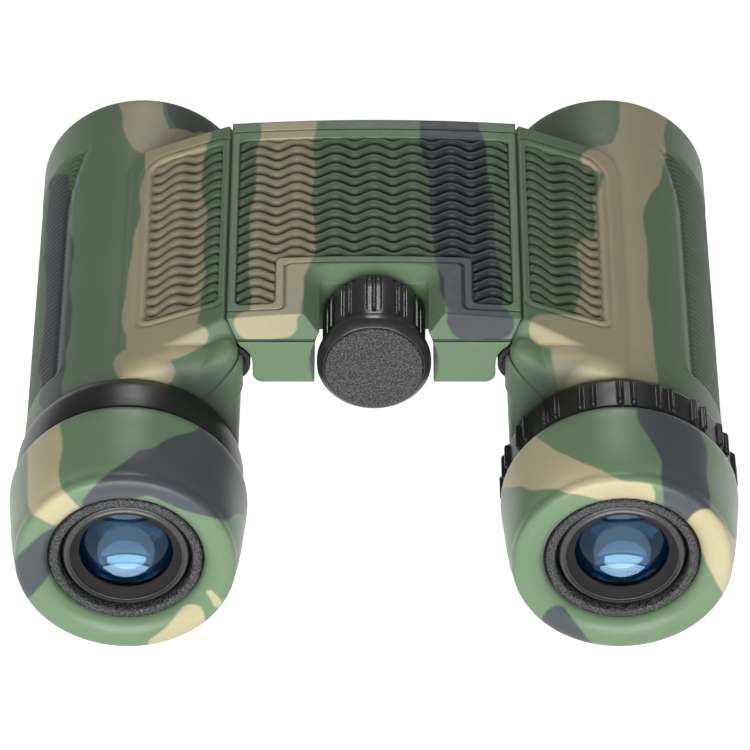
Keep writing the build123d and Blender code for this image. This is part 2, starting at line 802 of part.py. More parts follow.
with BuildPart() as spindle:
    add(ring(spindle_r, 0, knob_front - spindle_seat, front_bay, 0, hinge_z).part)
    add(ring(journal_r, 0, front_bay, spindle_front - bay_play, 0, hinge_z).part)
save(spindle.part, "focus_spindle")

carriage_rear = carriage_station - carriage_block / 2
with BuildPart() as carriage:
    with BuildSketch(across(carriage_rear, 0, hinge_z - carriage_below)):
        Rectangle(2 * carriage_half, carriage_below + carriage_above, align=(Align.CENTER, Align.MIN))
    extrude(amount=carriage_block, dir=forward)
    with BuildSketch(across(carriage_station - eye_length / 2, 0, hinge_z)):
        Rectangle(2 * hinge_x, carriage_bar)
        with Locations((hinge_x, 0), (-hinge_x, 0)):
            Circle(rod_eye_r)
    extrude(amount=eye_length, dir=forward)
    with BuildSketch(across(carriage_rear, 0, hinge_z)):
        Circle(spindle_r + 2 * turning_gap)
        with Locations((hinge_x, 0), (-hinge_x, 0)):
            Circle(rod_r)
    extrude(amount=carriage_block, dir=forward, mode=Mode.SUBTRACT)
save(carriage.part, "focus_carriage")

collar_rear = cell_rear + fork_thickness + running_gap
with BuildPart() as rod:
    add(hinge_cut(tube_rear + tube_cap + cell_travel, tube_front - tube_cap - cell_travel, rod_r))
    add(hinge_cut(collar_rear, collar_rear + rod_collar, rod_collar_r))
save_pair("focus_rod", rod)

# ---- Focusing cell: slides in the barrel, with an arm whose eye runs on the hinge's rod ----
cell_outer = bore_r - 2 * turning_gap
cell_inner = cell_outer - cell_wall
fork_front = cell_rear + fork_thickness
with BuildPart() as cell:
    add(ring(cell_outer, cell_inner, cell_rear, cell_rear + cell_length).part)
    add(arm_block(fork_width, cell_rear, fork_front, 0, arm_reach - cell_outer + cell_wall / 2))
    add(hinge_cut(cell_rear, fork_front, rod_eye_r + running_gap))
    add(hinge_cut(cell_rear, fork_front, rod_r + running_gap), mode=Mode.SUBTRACT)
    add(ring(cell_inner, 0, cell_rear, cell_rear + cell_length).part, mode=Mode.SUBTRACT)
save_pair("focusing_cell", cell)


def dome(radius, sag):
    """Height of a spherical face half way out from its middle."""
    sphere = (radius ** 2 + sag ** 2) / (2 * abs(sag))
    return (sqrt(sphere ** 2 - radius ** 2 / 4) - sphere + abs(sag)) * (1 if sag > 0 else -1)


def lens(radius, rear, edge, rear_sag, front_sag):
    """Lens with a cylindrical edge and two domed or hollow faces; sag is positive for a dome."""
    with BuildPart() as glass:
        with BuildSketch(along()):
            with BuildLine():
                back = ThreePointArc(
                    (0, rear - rear_sag), (radius / 2, rear - dome(radius, rear_sag)), (radius, rear)
                )
                rim = Line(back @ 1, (radius, rear + edge))
                front = ThreePointArc(
                    rim @ 1,
                    (radius / 2, rear + edge + dome(radius, front_sag)),
                    (0, rear + edge + front_sag),
                )
                Line(front @ 1, back @ 0)
            make_face()
        revolve(axis=axis_of())
    return glass


focusing_lens = lens(
    cell_inner, cell_rear + focusing_lens_edge, focusing_lens_edge, -hollow_sag, -hollow_sag
)
save_pair("focusing_lens", focusing_lens)

# ---- Roof prism assembly, held by its cage ----
cage_rear = tube_flange_front + cage_rear_gap
cage_front = cell_rear - cell_travel - cage_front_gap
with BuildPart() as cage:
    add(ring(bore_r, 0, cage_rear, cage_front).part)
    with BuildSketch(across(cage_rear, barrel_x)):
        Rectangle(2 * prism_half, 2 * prism_half)
    extrude(amount=cage_front - cage_rear, dir=forward, mode=Mode.SUBTRACT)
save_pair("prism_cage", cage)

prism_split = (cage_rear + cage_front) / 2
side_plane = Plane(origin=(barrel_x, eye_y, axis_z), x_dir=(0, 1, 0), z_dir=(1, 0, 0))
split_low = prism_split + roof_lean
split_high = prism_split - roof_lean
for name, outline in (
    (
        "roof_prism",
        (
            (cage_rear + prism_inset, -prism_half),
            (cage_rear + prism_inset, prism_half / 3),
            (split_high, prism_half),
            (split_low - prism_air, -prism_half),
        ),
    ),
    (
        "half_prism",
        (
            (split_high + half_lean + prism_air, prism_half),
            (cage_front - prism_inset, prism_half),
            (cage_front - prism_inset, -prism_half / 3),
            (split_low + half_lean + prism_air, -prism_half),
        ),
    ),
):
    with BuildPart() as prism:
        with BuildSketch(side_plane):
            with BuildLine():
                Polyline(*outline, close=True)
            make_face()
        extrude(amount=prism_half, both=True)
    save_pair(name, prism)

# ---- Eyepieces ----
eyepiece_tube = turned(
    [
        (eyepiece_bore_r, tube_mouth),
        (eyepiece_tube_r, tube_mouth),
        (eyepiece_tube_r, barrel_rear),
        (bore_r, barrel_rear),
        (bore_r, tube_flange_front),
        (eyepiece_bore_r, tube_flange_front),
    ]
)
save_pair("eyepiece_tube", eyepiece_tube)

bezel = turned(
    [
        (bezel_r - bezel_wall, bezel_rear),
        (bezel_r, bezel_rear),
        (bezel_r, tube_mouth),
        (eyepiece_bore_r, tube_mouth),
        (eyepiece_bore_r, tube_mouth + bezel_seat),
        (bezel_r - bezel_wall, tube_mouth + bezel_seat),
        (bezel_r - bezel_wall, bezel_rear + bezel_lip),
        (lens_window_r, bezel_rear + bezel_lip),
        (lens_window_r, bezel_rear + bezel_lip - bezel_edge),
    ]
)
save_pair("eyepiece_bezel", bezel)

ocular_cell = turned(
    [
        (nose_bore, ocular_rear),
        (ocular_nose_r, ocular_rear),
        (ocular_nose_r, ocular_shoulder),
        (ocular_r, ocular_shoulder),
        (ocular_r, ocular_front),
        (ocular_bore, ocular_front),
        (ocular_bore, ocular_front - field_depth),
        (nose_bore, ocular_front - field_depth),
    ]
)
save_pair("ocular_cell", ocular_cell)
save_pair("eye_lens", lens(nose_bore, ocular_rear, ocular_edge, eye_rear_sag, eye_front_sag))
field_rear = ocular_front - field_depth
field_lens = lens(ocular_bore, field_rear, ocular_edge, -field_hollow, field_dome)
save_pair("field_lens", field_lens)

collar_rear_station = eyecup_length + running_gap
collar_ring = ring(collar_r, eyepiece_tube_r, collar_rear_station, barrel_rear, -barrel_x)
save(collar_ring.part, "left_eyepiece_collar")

diopter_bore = eyepiece_tube_r + turning_gap
diopter_front = barrel_rear - running_gap
with BuildPart() as diopter:
    add(ring(diopter_r, diopter_bore, collar_rear_station, diopter_front).part)
    with BuildSketch(across(collar_rear_station + diopter_lip, barrel_x)):
        with PolarLocations(diopter_r, diopter_ribs):
            with Locations((0, diopter_rib_spread), (0, -diopter_rib_spread)):
                Rectangle(2 * diopter_rib, diopter_rib_width)
    extrude(amount=diopter_front - collar_rear_station - 2 * diopter_lip, dir=forward)
save(diopter.part, "diopter_ring")

sleeve = turned(
    [
        (eye_opening_r, ring_station),
        (eye_ring_r, ring_station),
        (eye_ring_r, ring_station + sleeve_floor),
        (sleeve_r, ring_station + sleeve_floor),
        (sleeve_r, eyecup_length - skirt_taper),
        (sleeve_bore_r, eyecup_length - skirt_taper),
        (sleeve_bore_r, tube_mouth - running_gap),
        (eye_opening_r, tube_mouth - running_gap),
    ]
)
save_pair("eyecup_sleeve", sleeve)
guide = ring(guide_r, eyepiece_tube_r + turning_gap, guide_rear, guide_front)
save_pair("eyecup_guide", guide)

# Soft cup: dished to the opening, a round rim, a faint waist and a nearly straight skirt.
with BuildPart() as eyecup:
    with BuildSketch(along()):
        with BuildLine():
            dish = Spline((eye_ring_r, ring_station), (crest_r, 0), tangents=((0.8, -1), (1, 0)))
            rim = Spline(
                dish @ 1,
                (waist_r, waist_station),
                (eyecup_r, skirt_station),
                tangents=((1, 0), (0, 1)),
            )
            Polyline(
                rim @ 1,
                (eyecup_r - skirt_taper, eyecup_length),
                (sleeve_r, eyecup_length),
                (sleeve_r, ring_station + sleeve_floor),
                (eye_ring_r, ring_station + sleeve_floor),
                dish @ 0,
            )
        make_face()
    revolve(axis=axis_of())
save_pair("eyecup", eyecup)

# ---- Objectives ----
save_pair("objective_cell", ring(bore_r, objective_r, objective_seat, armor_front))
save_pair(
    "objective_lens",
    lens(objective_r, objective_rear, objective_edge, -objective_sag / 2, objective_sag),
)
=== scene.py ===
import json
import math

import bpy
import numpy as np
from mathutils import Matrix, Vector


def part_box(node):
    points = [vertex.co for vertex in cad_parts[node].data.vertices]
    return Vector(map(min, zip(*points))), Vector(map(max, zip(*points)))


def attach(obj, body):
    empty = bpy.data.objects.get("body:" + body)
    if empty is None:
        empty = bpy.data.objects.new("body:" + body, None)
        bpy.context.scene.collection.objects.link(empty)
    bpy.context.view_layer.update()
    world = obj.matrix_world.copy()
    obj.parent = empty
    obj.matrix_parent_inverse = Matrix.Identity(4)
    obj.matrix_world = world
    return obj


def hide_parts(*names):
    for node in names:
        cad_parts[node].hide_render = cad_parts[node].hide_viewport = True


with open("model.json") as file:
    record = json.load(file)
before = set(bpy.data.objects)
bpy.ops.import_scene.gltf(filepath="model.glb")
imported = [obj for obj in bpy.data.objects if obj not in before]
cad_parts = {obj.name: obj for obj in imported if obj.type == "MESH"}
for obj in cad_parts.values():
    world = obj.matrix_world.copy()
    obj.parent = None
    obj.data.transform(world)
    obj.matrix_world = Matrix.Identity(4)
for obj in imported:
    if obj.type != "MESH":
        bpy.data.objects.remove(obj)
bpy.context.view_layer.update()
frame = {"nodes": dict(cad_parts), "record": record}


# ---- Camera ----
# The open binoculars lie on a table and are seen from behind the eyepieces, from well above them.
# The view is a narrow one from far off, so the barrels draw in only a little towards the front.
looking_down = 38.4
field_of_view = 7.58
camera = bpy.data.objects.new("camera", bpy.data.cameras.new("camera"))
bpy.context.collection.objects.link(camera)
camera.location = (0.00015, -0.6907, 0.5633)
camera.rotation_euler = (math.radians(90 - looking_down), 0, 0)
camera.data.angle = math.radians(field_of_view)
bpy.context.scene.camera = camera
bpy.context.scene.view_settings.view_transform = "Standard"


# ---- Table and light ----
# A plain white table, a tall softbox in two panes behind the viewer, and a weak lamp overhead.
# The surroundings show white to the eye and faintly in gloss, and add little light of their own.
MM = 0.001


class Socket:
    """A value, colour or vector in a finish; arithmetic on it adds the nodes that work it out."""

    def __init__(self, tree, link=None):
        self.tree = tree
        self.link = link

    def node(self, kind, settings=None, inputs=None, output=0):
        node = self.tree.nodes.new("ShaderNode" + kind)
        for key, value in (settings or {}).items():
            setattr(node, key, value)
        for key, value in (inputs or {}).items():
            if isinstance(value, Socket):
                self.tree.links.new(value.link, node.inputs[key])
            else:
                node.inputs[key].default_value = value
        return Socket(self.tree, node.outputs[output] if len(node.outputs) else None)

    def math(self, operation, other=0.0, clamp=False):
        settings = {"operation": operation, "use_clamp": clamp}
        return self.node("Math", settings, {0: self, 1: other})

    def absolute(self):
        return self.math("ABSOLUTE")

    def maximum(self, other):
        return self.math("MAXIMUM", other)

    def vector(self, operation, other=None, scale=None):
        output = 1 if operation in ("DOT_PRODUCT", "LENGTH") else 0
        inputs = {0: self}
        if other is not None:
            inputs[1] = other
        if scale is not None:
            inputs[3] = scale
        return self.node("VectorMath", {"operation": operation}, inputs, output)

    def along(self, direction):
        """How far this point lies along a direction."""
        return self.vector("DOT_PRODUCT", direction)

    def mix(self, low, high):
        """Blend of two colours, with this value as the share of the second."""
        return self.node("Mix", {"data_type": "RGBA"}, {"Factor": self, 6: low, 7: high}, 2)

    def times(self, colour):
        """This colour multiplied by another."""
        settings = {"data_type": "RGBA", "blend_type": "MULTIPLY"}
        return self.node("Mix", settings, {"Factor": 1.0, 6: self, 7: colour}, 2)

    def step(self, low, high):
        """Smooth rise from 0 to 1 between two levels of this value."""
        levels = {"Value": self, "From Min": low, "From Max": high}
        return self.node("MapRange", {"interpolation_type": "SMOOTHSTEP"}, levels)

    def noise(self, scale, detail=2.0, output=0):
        return self.node("TexNoise", {}, {"Vector": self, "Scale": scale, "Detail": detail}, output)

    def bump(self, strength, depth_mm, normal=None):
        inputs = {"Height": self, "Strength": strength, "Distance": depth_mm * MM}
        if normal is not None:
            inputs["Normal"] = normal
        return self.node("Bump", {}, inputs)

    def __add__(self, other):
        return self.math("ADD", other)

    def __sub__(self, other):
        return self.math("SUBTRACT", other)

    def __rsub__(self, other):
        return self.node("Math", {"operation": "SUBTRACT"}, {0: other, 1: self})

    def __mul__(self, other):
        return self.math("MULTIPLY", other)

    __radd__ = __add__
    __rmul__ = __mul__


def finish(name, recipe):
    """Material from a recipe, which takes the place on the piece in millimetres.

    The recipe gives a shader, or the inputs of the principled one.
    """
    material = bpy.data.materials.new(name)
    material.use_nodes = True
    tree = material.node_tree
    tree.nodes.clear()
    place = Socket(tree).node("TexCoord", output="Object").vector("SCALE", scale=1 / MM)
    made = recipe(place)
    if isinstance(made, dict):
        made = place.node("BsdfPrincipled", {}, made)
    place.node("OutputMaterial", {}, {"Surface": made})
    return material


def grey(level):
    return (level, level, level, 1)


def table_top(place):
    seen = place.node("LightPath", output="Is Camera Ray")
    glossy = place.node("LightPath", output="Is Glossy Ray")
    passed = place.node("LightPath", output="Is Transmission Ray")
    white = place.node("BsdfDiffuse", {}, {"Color": grey(0.8)})
    glow = place.node("Emission", {}, {"Color": grey(1), "Strength": 0.86})
    bright = place.node("AddShader", {}, {0: white, 1: glow})
    return place.node("MixShader", {}, {0: seen.maximum(glossy).maximum(passed), 1: white, 2: bright})


table_half = 3.0
corners = [(-1, -1), (1, -1), (1, 1), (-1, 1)]
table_mesh = bpy.data.meshes.new("table")
table_mesh.from_pydata([(x * table_half, y * table_half, 0) for x, y in corners], [], [(0, 1, 2, 3)])
table_mesh.materials.append(finish("table", table_top))
table = bpy.data.objects.new("table", table_mesh)
bpy.context.collection.objects.link(table)

gloss_light = 0.22
fill_light = 0.06
world = bpy.data.worlds.new("studio")
bpy.context.scene.world = world
world.use_nodes = True
world.node_tree.nodes.clear()
sky = Socket(world.node_tree)
sky_seen = sky.node("LightPath", output="Is Camera Ray")
sky_gloss = sky.node("LightPath", output="Is Glossy Ray")
sky_light = sky_seen.maximum(sky_gloss * gloss_light).maximum(fill_light)
backdrop = sky.node("Background", {}, {"Color": grey(1), "Strength": sky_light})
sky.node("OutputWorld", {}, {"Surface": backdrop})

lamp_target = np.array((0, 0, 0.02))
for name, place, width, height, watts in (
    ("softbox_upper", (-0.05, -1.126, 0.66), 1.6, 0.30, 9.5),
    ("softbox_lower", (-0.05, -1.26, 0.30), 1.6, 0.42, 14.0),
    ("overhead", (0.0, 0.95, 0.82), 0.34, 0.26, 2.8),
):
    lamp = bpy.data.lights.new(name, "AREA")
    lamp.shape = "RECTANGLE"
    lamp.size = width
    lamp.size_y = height
    lamp.energy = watts
    light = bpy.data.objects.new(name, lamp)
    light.location = place
    aim = lamp_target - np.array(place)
    tilt = math.atan2(math.hypot(aim[0], aim[1]), -aim[2])
    light.rotation_euler = (tilt, 0, math.atan2(-aim[0], aim[1]))
    bpy.context.collection.objects.link(light)


# ---- Barrel armour ----
# A skin of soft-touch rubber, moulded over each barrel's housing and printed in camouflage colours.
# Its flat wing reaches up to the hinge and carries the plate that the grip panel is let into, and a
# rounded nose covers the hinge from behind.  It is lofted from cross-sections, from the rear forward.
#
# Sizes are in millimetres: u outward and w upward of the barrel's axis, and stations forward of the
# rear of the eyecups.
barrel_x = 37.0
cup_low, cup_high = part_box("left_eyecup")
eye_y = cup_low[1] / MM
axis_z = (cup_low[2] + cup_high[2]) / 2 / MM
barrel_r = 16.3
rear_face = 24.2

# The wing: its slope, the plate's edge, the seam against the bridge and the pocket round the hinge.
slope = math.radians(20.0)
wing_top = 22.65
wing_front = 80.8
plate_edge = 1.2
plate_corner = 4.0
seam_u = -14.4
pocket_u = -14.9
pocket_w = 16.0
pocket_r = 3.75

# The bevel behind the plate, with its own fillet and the one into the nose.
bevel_front = 31.2
bevel_rear = 28.5
bevel_drop = 3.3
bevel_fillet = 0.55
nose_fillet = 1.2

# The recess of the grip panel, the bead and the fine groove round it, and the bed of the side strip.
panel = dict(inner=20.07, outer=7.97, rear=36.0, front=76.4)
panel_depth = 0.9
panel_round = 3.0
panel_rear_round = 1.2
panel_tight = 0.8
panel_bead = dict(height=0.10, out=0.65, width=0.4)
panel_groove = dict(height=-0.30, out=1.35, width=0.2)
crest_height = 0.16
strip_bed = 0.5

# Angles round the barrel, in degrees: where the arm below the hinge joins it, where the wing's front
# edge starts to round off, and where the plate's edge begins.  The sections lie close together up to
# one station and from another, and bend to the wing's front edge from a third.
arm_angle = 147
edge_from = 400
edge_angle = 443
fine_until = 38.0
fine_from = 72.0
bent_from = 66


def on_plane(u):
    """Height of the wing's flat top, at a distance outward of the barrel's axis."""
    return (barrel_r - u * math.sin(slope)) / math.cos(slope)


def down_slope(u):
    """Distance along the wing's flat top, from where it leaves the round barrel."""
    return (barrel_r * math.sin(slope) - u) / math.cos(slope)


def smooth(value, low, high):
    share = np.clip((value - low) / (high - low), 0, 1)
    return share * share * (3 - 2 * share)


def between(start, end, shares):
    return np.array([start + (end - start) * share for share in shares])


def raised(gap, height, out, width):
    """Height of a fine bead, or of a groove, that runs at a distance out from an edge."""
    return height * np.exp(-(((gap - out) / width) ** 2))


# Columns of the cross-section: round barrel, plate edge, flat slope, seam face, hinge pocket, arm.
barrel_angles = np.radians(np.linspace(arm_angle, edge_angle, 116))
barrel_part = barrel_r * np.column_stack((np.cos(barrel_angles), np.sin(barrel_angles)))
edge_share = np.array([0.2, 0.4, 0.6, 0.8])
edge_u = 1.9 - 1.3 * edge_share
edge_w = np.sqrt(barrel_r ** 2 - edge_u ** 2)
edge_w += (on_plane(edge_u) - edge_w) * smooth(edge_share, 0, 1)
flat_u = np.linspace(0.5, seam_u + 0.35, 46)
flat_part = np.column_stack((flat_u, on_plane(flat_u)))
corner_points = [(seam_u + 0.12, 0.05), (seam_u - 0.03, 0.2), (seam_u - 0.15, 0.45)]
corner_part = np.array([(u, on_plane(seam_u) - drop) for u, drop in corner_points])
face_part = between(corner_part[-1], np.array((pocket_u - 1.4, pocket_w + 3.48)), (0.33, 0.67, 1.0))
pocket_angles = np.radians(np.linspace(100, -80, 13))
pocket_part = np.column_stack(
    (pocket_u + pocket_r * np.cos(pocket_angles), pocket_w + pocket_r * np.sin(pocket_angles))
)
arm_part = between(pocket_part[-1], barrel_part[0], (0.3, 0.6, 0.85))
wing_part = np.vstack((np.column_stack((edge_u, edge_w)), flat_part, corner_part, face_part))
wing_outline = np.vstack((barrel_part, wing_part, pocket_part, arm_part))
round_count = len(barrel_part)
flat_from = round_count + len(edge_u)
flat_to = flat_from + len(flat_u)
columns = np.arange(len(wing_outline))

# Each column's angle round the barrel, and its point where the section is a plain circle.
column_angle = np.arctan2(wing_outline[:, 1], wing_outline[:, 0])
beyond = len(columns) - flat_to
column_angle[flat_to:] = np.linspace(
    column_angle[flat_to - 1], math.radians(arm_angle), beyond + 2
)[1:-1]
column_angle[:round_count] = barrel_angles
rays = np.column_stack((np.cos(column_angle), np.sin(column_angle)))
round_outline = barrel_r * rays
down = down_slope(wing_outline[:, 0])
turn = column_angle % (2 * math.pi)

# Plan of the wing's front edge: straight from the seam, then rounded towards the plate's corner.
from_edge = np.clip(down - down_slope(plate_edge), 0, plate_corner)
front_edge = wing_front - (plate_corner - np.sqrt(plate_corner ** 2 - (plate_corner - from_edge) ** 2))
front_edge[flat_to:] = wing_front
ease = smooth(np.degrees(barrel_angles), edge_from, edge_angle)
front_edge[:round_count] = wing_front - plate_corner * ease

# Nose: hull of the round barrel and a small circle that covers the hinge from behind.
nose_centre = np.array((-13.2, 15.58))
nose_r = 3.87
nose_front = 28.35
nose_full = 27.6
nose_length = 3.4
nose_roundness = 2.3
parting_line = math.radians(132.2)
parting_depth = 0.65
wing_from = math.radians(70)
wing_to = math.radians(131)


def reach_over(centre, radius):
    """Reach along each ray to the far side of a circle; the barrel's radius where it misses."""
    ahead = rays @ centre
    aside = centre @ centre - ahead ** 2
    hit = (aside < radius ** 2) & (ahead > 0)
    reach = np.full(len(rays), barrel_r)
    reach[hit] = np.maximum(barrel_r, ahead[hit] + np.sqrt(radius ** 2 - aside[hit]))
    return reach


def smooth_max(first, second, blend):
    """Larger of two reaches, with a fillet where they meet."""
    share = np.clip(0.5 + 0.5 * (first - second) / np.maximum(blend, 1e-6), 0, 1)
    return second + (first - second) * share + blend * share * (1 - share)


nose_reach = np.full(len(rays), barrel_r)
for share in np.linspace(0, 1, 80):
    part = reach_over(nose_centre * share + 1e-6, barrel_r + (nose_r - barrel_r) * share)
    nose_reach = np.maximum(nose_reach, part)
on_wing = (turn > wing_from) & (turn < wing_to)
up = np.where(on_wing, np.sin(turn), 1.0)
plate_reach = np.where(on_wing, barrel_r / np.sin(np.clip(turn, 1.2, 2.3) + slope), barrel_r)
plate_reach[:flat_to] = np.linalg.norm(wing_outline[:flat_to], axis=1)
parting = np.exp(-(np.degrees(turn - parting_line) ** 2))

# The boss over the hinge's knuckle stops short of the bridge's slanted side and of the hinge's end.
bridge_side = 27.69
bridge_lean = 0.58
boss_end = -17.2
knuckle_r = 4.42
boss_fillet = 0.3
unlimited = 99.0
boss = np.full(len(turn), unlimited)
past = (turn > math.radians(110)) & (turn < math.radians(150))
boss[past] = bridge_side / (bridge_lean * np.sin(turn[past]) - np.cos(turn[past]))
seam_reach = boss.copy()
boss[past] = -smooth_max(-boss[past], -boss_end / np.cos(turn[past]), 0.6)
knuckle_reach = reach_over(np.array((pocket_u, pocket_w + 0.05)), knuckle_r)
boss = np.minimum(boss, knuckle_reach)
nose_reach = smooth_max(nose_reach, boss, boss_fillet * (knuckle_reach > 20))


def rear_reach(station):
    """Reach from the barrel's axis behind the plate: a level bevel, filleted into the nose."""
    fall = bevel_drop * min(1.0, (bevel_front - station) / (bevel_front - bevel_rear))
    blend = bevel_fillet * float(smooth(bevel_front - station, 0, 2.0))
    top = -smooth_max(-plate_reach, -(wing_top + 0.06 - fall) / up, blend)
    top = np.minimum(top, seam_reach)
    fillet = nose_fillet * blend * smooth(nose_reach, barrel_r + 0.1, barrel_r + 1.5)
    full = np.minimum(smooth_max(top, nose_reach, fillet), seam_reach)
    reach = np.where(on_wing, full, nose_reach)
    share = min(1.0, max(0.0, (nose_full - station) / nose_length))
    bulge = (1 - share ** nose_roundness) ** (1 / nose_roundness)
    groove = parting_depth * parting if station < nose_front + 0.01 else 0.0
    return barrel_r + (reach - barrel_r) * bulge - groove * bulge


def bevelled(station):
    """The wing behind its plate: the seam's face and the hinge's pocket end below the bevel."""
    outline = wing_outline.copy()
    below_arm = (turn > wing_to) & (turn < math.pi)
    reach = np.where(below_arm, barrel_r, rear_reach(station))
    outline[:flat_to] = rays[:flat_to] * reach[:flat_to, None]
    top = outline[flat_to - 1]
    below = np.arange(1, beyond + 1) * 0.02
    outline[flat_to:, 1] = np.minimum(outline[flat_to:, 1], top[1] - below)
    outline[flat_to:, 0] += (top[0] - wing_outline[flat_to - 1, 0]) * np.linspace(1, 0, beyond) ** 4
    flap = (columns >= flat_to) & (turn < math.radians(130.5))
    outline[flap] = rays[flap] * reach[flap, None]
    return outline


def panel_distance(station):
    """Distance outside the edge of the wing's grip panel; negative inside it."""
    mid_a = (panel["inner"] + panel["outer"]) / 2
    mid_y = (panel["rear"] + panel["front"]) / 2
    half_a = (panel["inner"] - panel["outer"]) / 2
    half_y = (panel["front"] - panel["rear"]) / 2
    front_corner = np.where(down < mid_a, panel_round, panel_tight)
    rear_corner = np.where(down < mid_a, panel_rear_round, panel_tight)
    corner = np.where(station > mid_y, front_corner, rear_corner)
    over_a = np.abs(down - mid_a) - half_a + corner
    over_y = np.abs(station - mid_y) - half_y + corner
    outside = np.hypot(np.maximum(over_a, 0), np.maximum(over_y, 0))
    return outside + np.minimum(np.maximum(over_a, over_y), 0) - corner


def strip_edge(station):
    """Tilt from the vertical, in degrees, of the side strip's upper edge; it rises to the front."""
    flare = np.clip((station - 73) / 14, 0, 1) ** 1.5
    turned = np.clip((34 - station) / 8, 0, 1) ** 2
    return 39.5 - 12 * flare + 7 * turned


def detailed(station):
    """The wing beside the grip panel, with the panel's recess, its bead and its fine groove."""
    outline = wing_outline.copy()
    gap = panel_distance(station)
    relief = -panel_depth * smooth(-gap, -0.1, 0.3)
    relief += raised(gap, **panel_bead)
    relief += raised(gap, **panel_groove)
    relief = np.where((columns >= flat_from) & (columns < flat_to), relief, 0)
    outline[:, 0] += relief * math.sin(slope)
    outline[:, 1] += relief * math.cos(slope)
    tilt = np.degrees(math.pi / 2 - barrel_angles % (2 * math.pi))
    over = tilt - strip_edge(station[:round_count])
    crest = raised(over, crest_height, 0.0, 1.3)
    strip = smooth(over, 2.2, 4.2) * smooth(-tilt, -113, -110)
    length = smooth(station[:round_count], 25.5, 27.5) * smooth(-station[:round_count], -87.4, -86.4)
    outline[:round_count] *= (1 + (crest - strip_bed * strip) * length / barrel_r)[:, None]
    return outline


# The rear end's rim by its radii, the wing's rolled front edge and the lip of the objective's mouth.
# A section of the front edge lies ahead by so much, has dropped by so much, and has gone a share of
# the way to the round barrel.  The lip is given by radius and station.
rear_radii = (13.2, 16.0, 16.25)
front_roll = [
    (-0.45, 0.04, 0), (-0.28, 0.14, 0), (-0.12, 0.34, 0), (0.0, 0.62, 0), (0.05, 0.9, 0.4),
    (0.08, 0, 0.75), (0.16, 0, 0.93), (0.5, 0, 0.99), (1.1, 0, 1.0),
]
mouth_profile = [
    (16.22, 96.1), (15.97, 96.55), (15.5, 96.95), (14.95, 97.17), (14.4, 97.19), (13.9, 97.05),
    (13.55, 96.7), (13.42, 96.2), (13.4, 95.4), (13.4, 93.0),
]


def armor_rows():
    """Cross-sections from the rear edge to the inside of the objective's mouth."""
    rows = []

    def add(outline, station):
        stations = np.broadcast_to(station, (len(outline),))
        rows.append(np.column_stack((outline[:, 0], stations, outline[:, 1])))

    for radius in rear_radii:
        add(round_outline * radius / barrel_r, rear_face)
    nose_rear = nose_full - nose_length
    nose_stations = nose_rear + nose_length * np.linspace(0, 1, 22) ** 1.5
    for station in np.append(nose_stations, (28.0, nose_front)):
        add(rays * rear_reach(station)[:, None], station)
    for station in np.linspace(bevel_rear, bevel_front, 11)[:-1]:
        add(bevelled(station), station)
    fine_rear = np.arange(bevel_front, fine_until, 0.27)
    middle = np.linspace(fine_until, fine_from, 24)
    fine_front = np.linspace(fine_from, wing_front - 0.6, 36)[1:]
    for station in np.concatenate((fine_rear, middle, fine_front)):
        shift = (front_edge - wing_front) * smooth(station, bent_from, wing_front - 0.6)
        add(detailed(station + shift), station + shift)
    height = np.linalg.norm(wing_outline - round_outline, axis=1)
    for ahead, drop, share in front_roll:
        fall = np.clip(drop / np.maximum(height, 1e-6), 0, 1)
        fall = np.maximum(fall, share)[:, None]
        outline = wing_outline * (1 - fall) + round_outline * fall
        outline[:round_count] = detailed(front_edge + ahead)[:round_count]
        add(outline, front_edge + ahead)
    for station in np.append(np.linspace(83.0, 88.0, 14), np.linspace(89.2, 95.6, 6)):
        stations = np.maximum(station, front_edge + 1.2)
        outline = round_outline.copy()
        outline[:round_count] = detailed(stations)[:round_count]
        add(outline, stations)
    for radius, station in mouth_profile:
        add(round_outline * radius / barrel_r, station)
    return rows


# The print falls on the object along one slanted direction, so a blot is set by its two round ends
# in that slanted plan: across, along and radius in millimetres.  Later blots lie over earlier ones.
GREEN = (0.120, 0.196, 0.108, 1)
TAN = (0.415, 0.372, 0.222, 1)
CHARCOAL = (0.050, 0.059, 0.066, 1)
DARK_GREEN = (0.062, 0.096, 0.066, 1)
# Colours of painted shade: the print darkened in the corner beside the eyepiece and in the parting groove
# over the nose.
CORNER_PAINTED_SHADE = (0.022, 0.034, 0.024, 1)
PARTING_PAINTED_SHADE = (0.018, 0.030, 0.020, 1)
print_slant = (0.0, 0.621, 0.784)
print_start = eye_y * print_slant[1] + axis_z * print_slant[2] + 0.93
print_wander = 1.9
print_edge = 0.25
print_fade = 0.14


def station_of(place):
    return place.along((0, 1, 0)) - eye_y


def height_of(place):
    return place.along((0, 0, 1)) - axis_z


def blotted(place, blots):
    """Colour of the print: the blots over a green ground, their edges led astray a little."""
    across = place.along((1, 0, 0))
    along = place.along(print_slant) - print_start
    plan = place.node("CombineXYZ", {}, {0: across, 1: along})
    wander = place.noise(0.13, 0.0, 1).vector("SUBTRACT", (0.5, 0.5, 0.5))
    plan = plan.vector("ADD", wander.vector("SCALE", scale=print_wander)).vector("MULTIPLY", (1, 1, 0))
    colour = GREEN
    for paint, (x0, t0, r0), (x1, t1, r1) in blots:
        run = (x1 - x0, t1 - t0, 0)
        start = plan.vector("SUBTRACT", (x0, t0, 0))
        share = start.along(run).math("MULTIPLY", 1 / (run[0] ** 2 + run[1] ** 2), clamp=True)
        step = share.node("CombineXYZ", {}, {0: share * run[0], 1: share * run[1]})
        reach = start.vector("SUBTRACT", step).vector("LENGTH")
        inside = (share * (r1 - r0) + r0 - reach).step(-print_edge, print_edge)
        colour = inside.mix(colour, paint)
    return colour


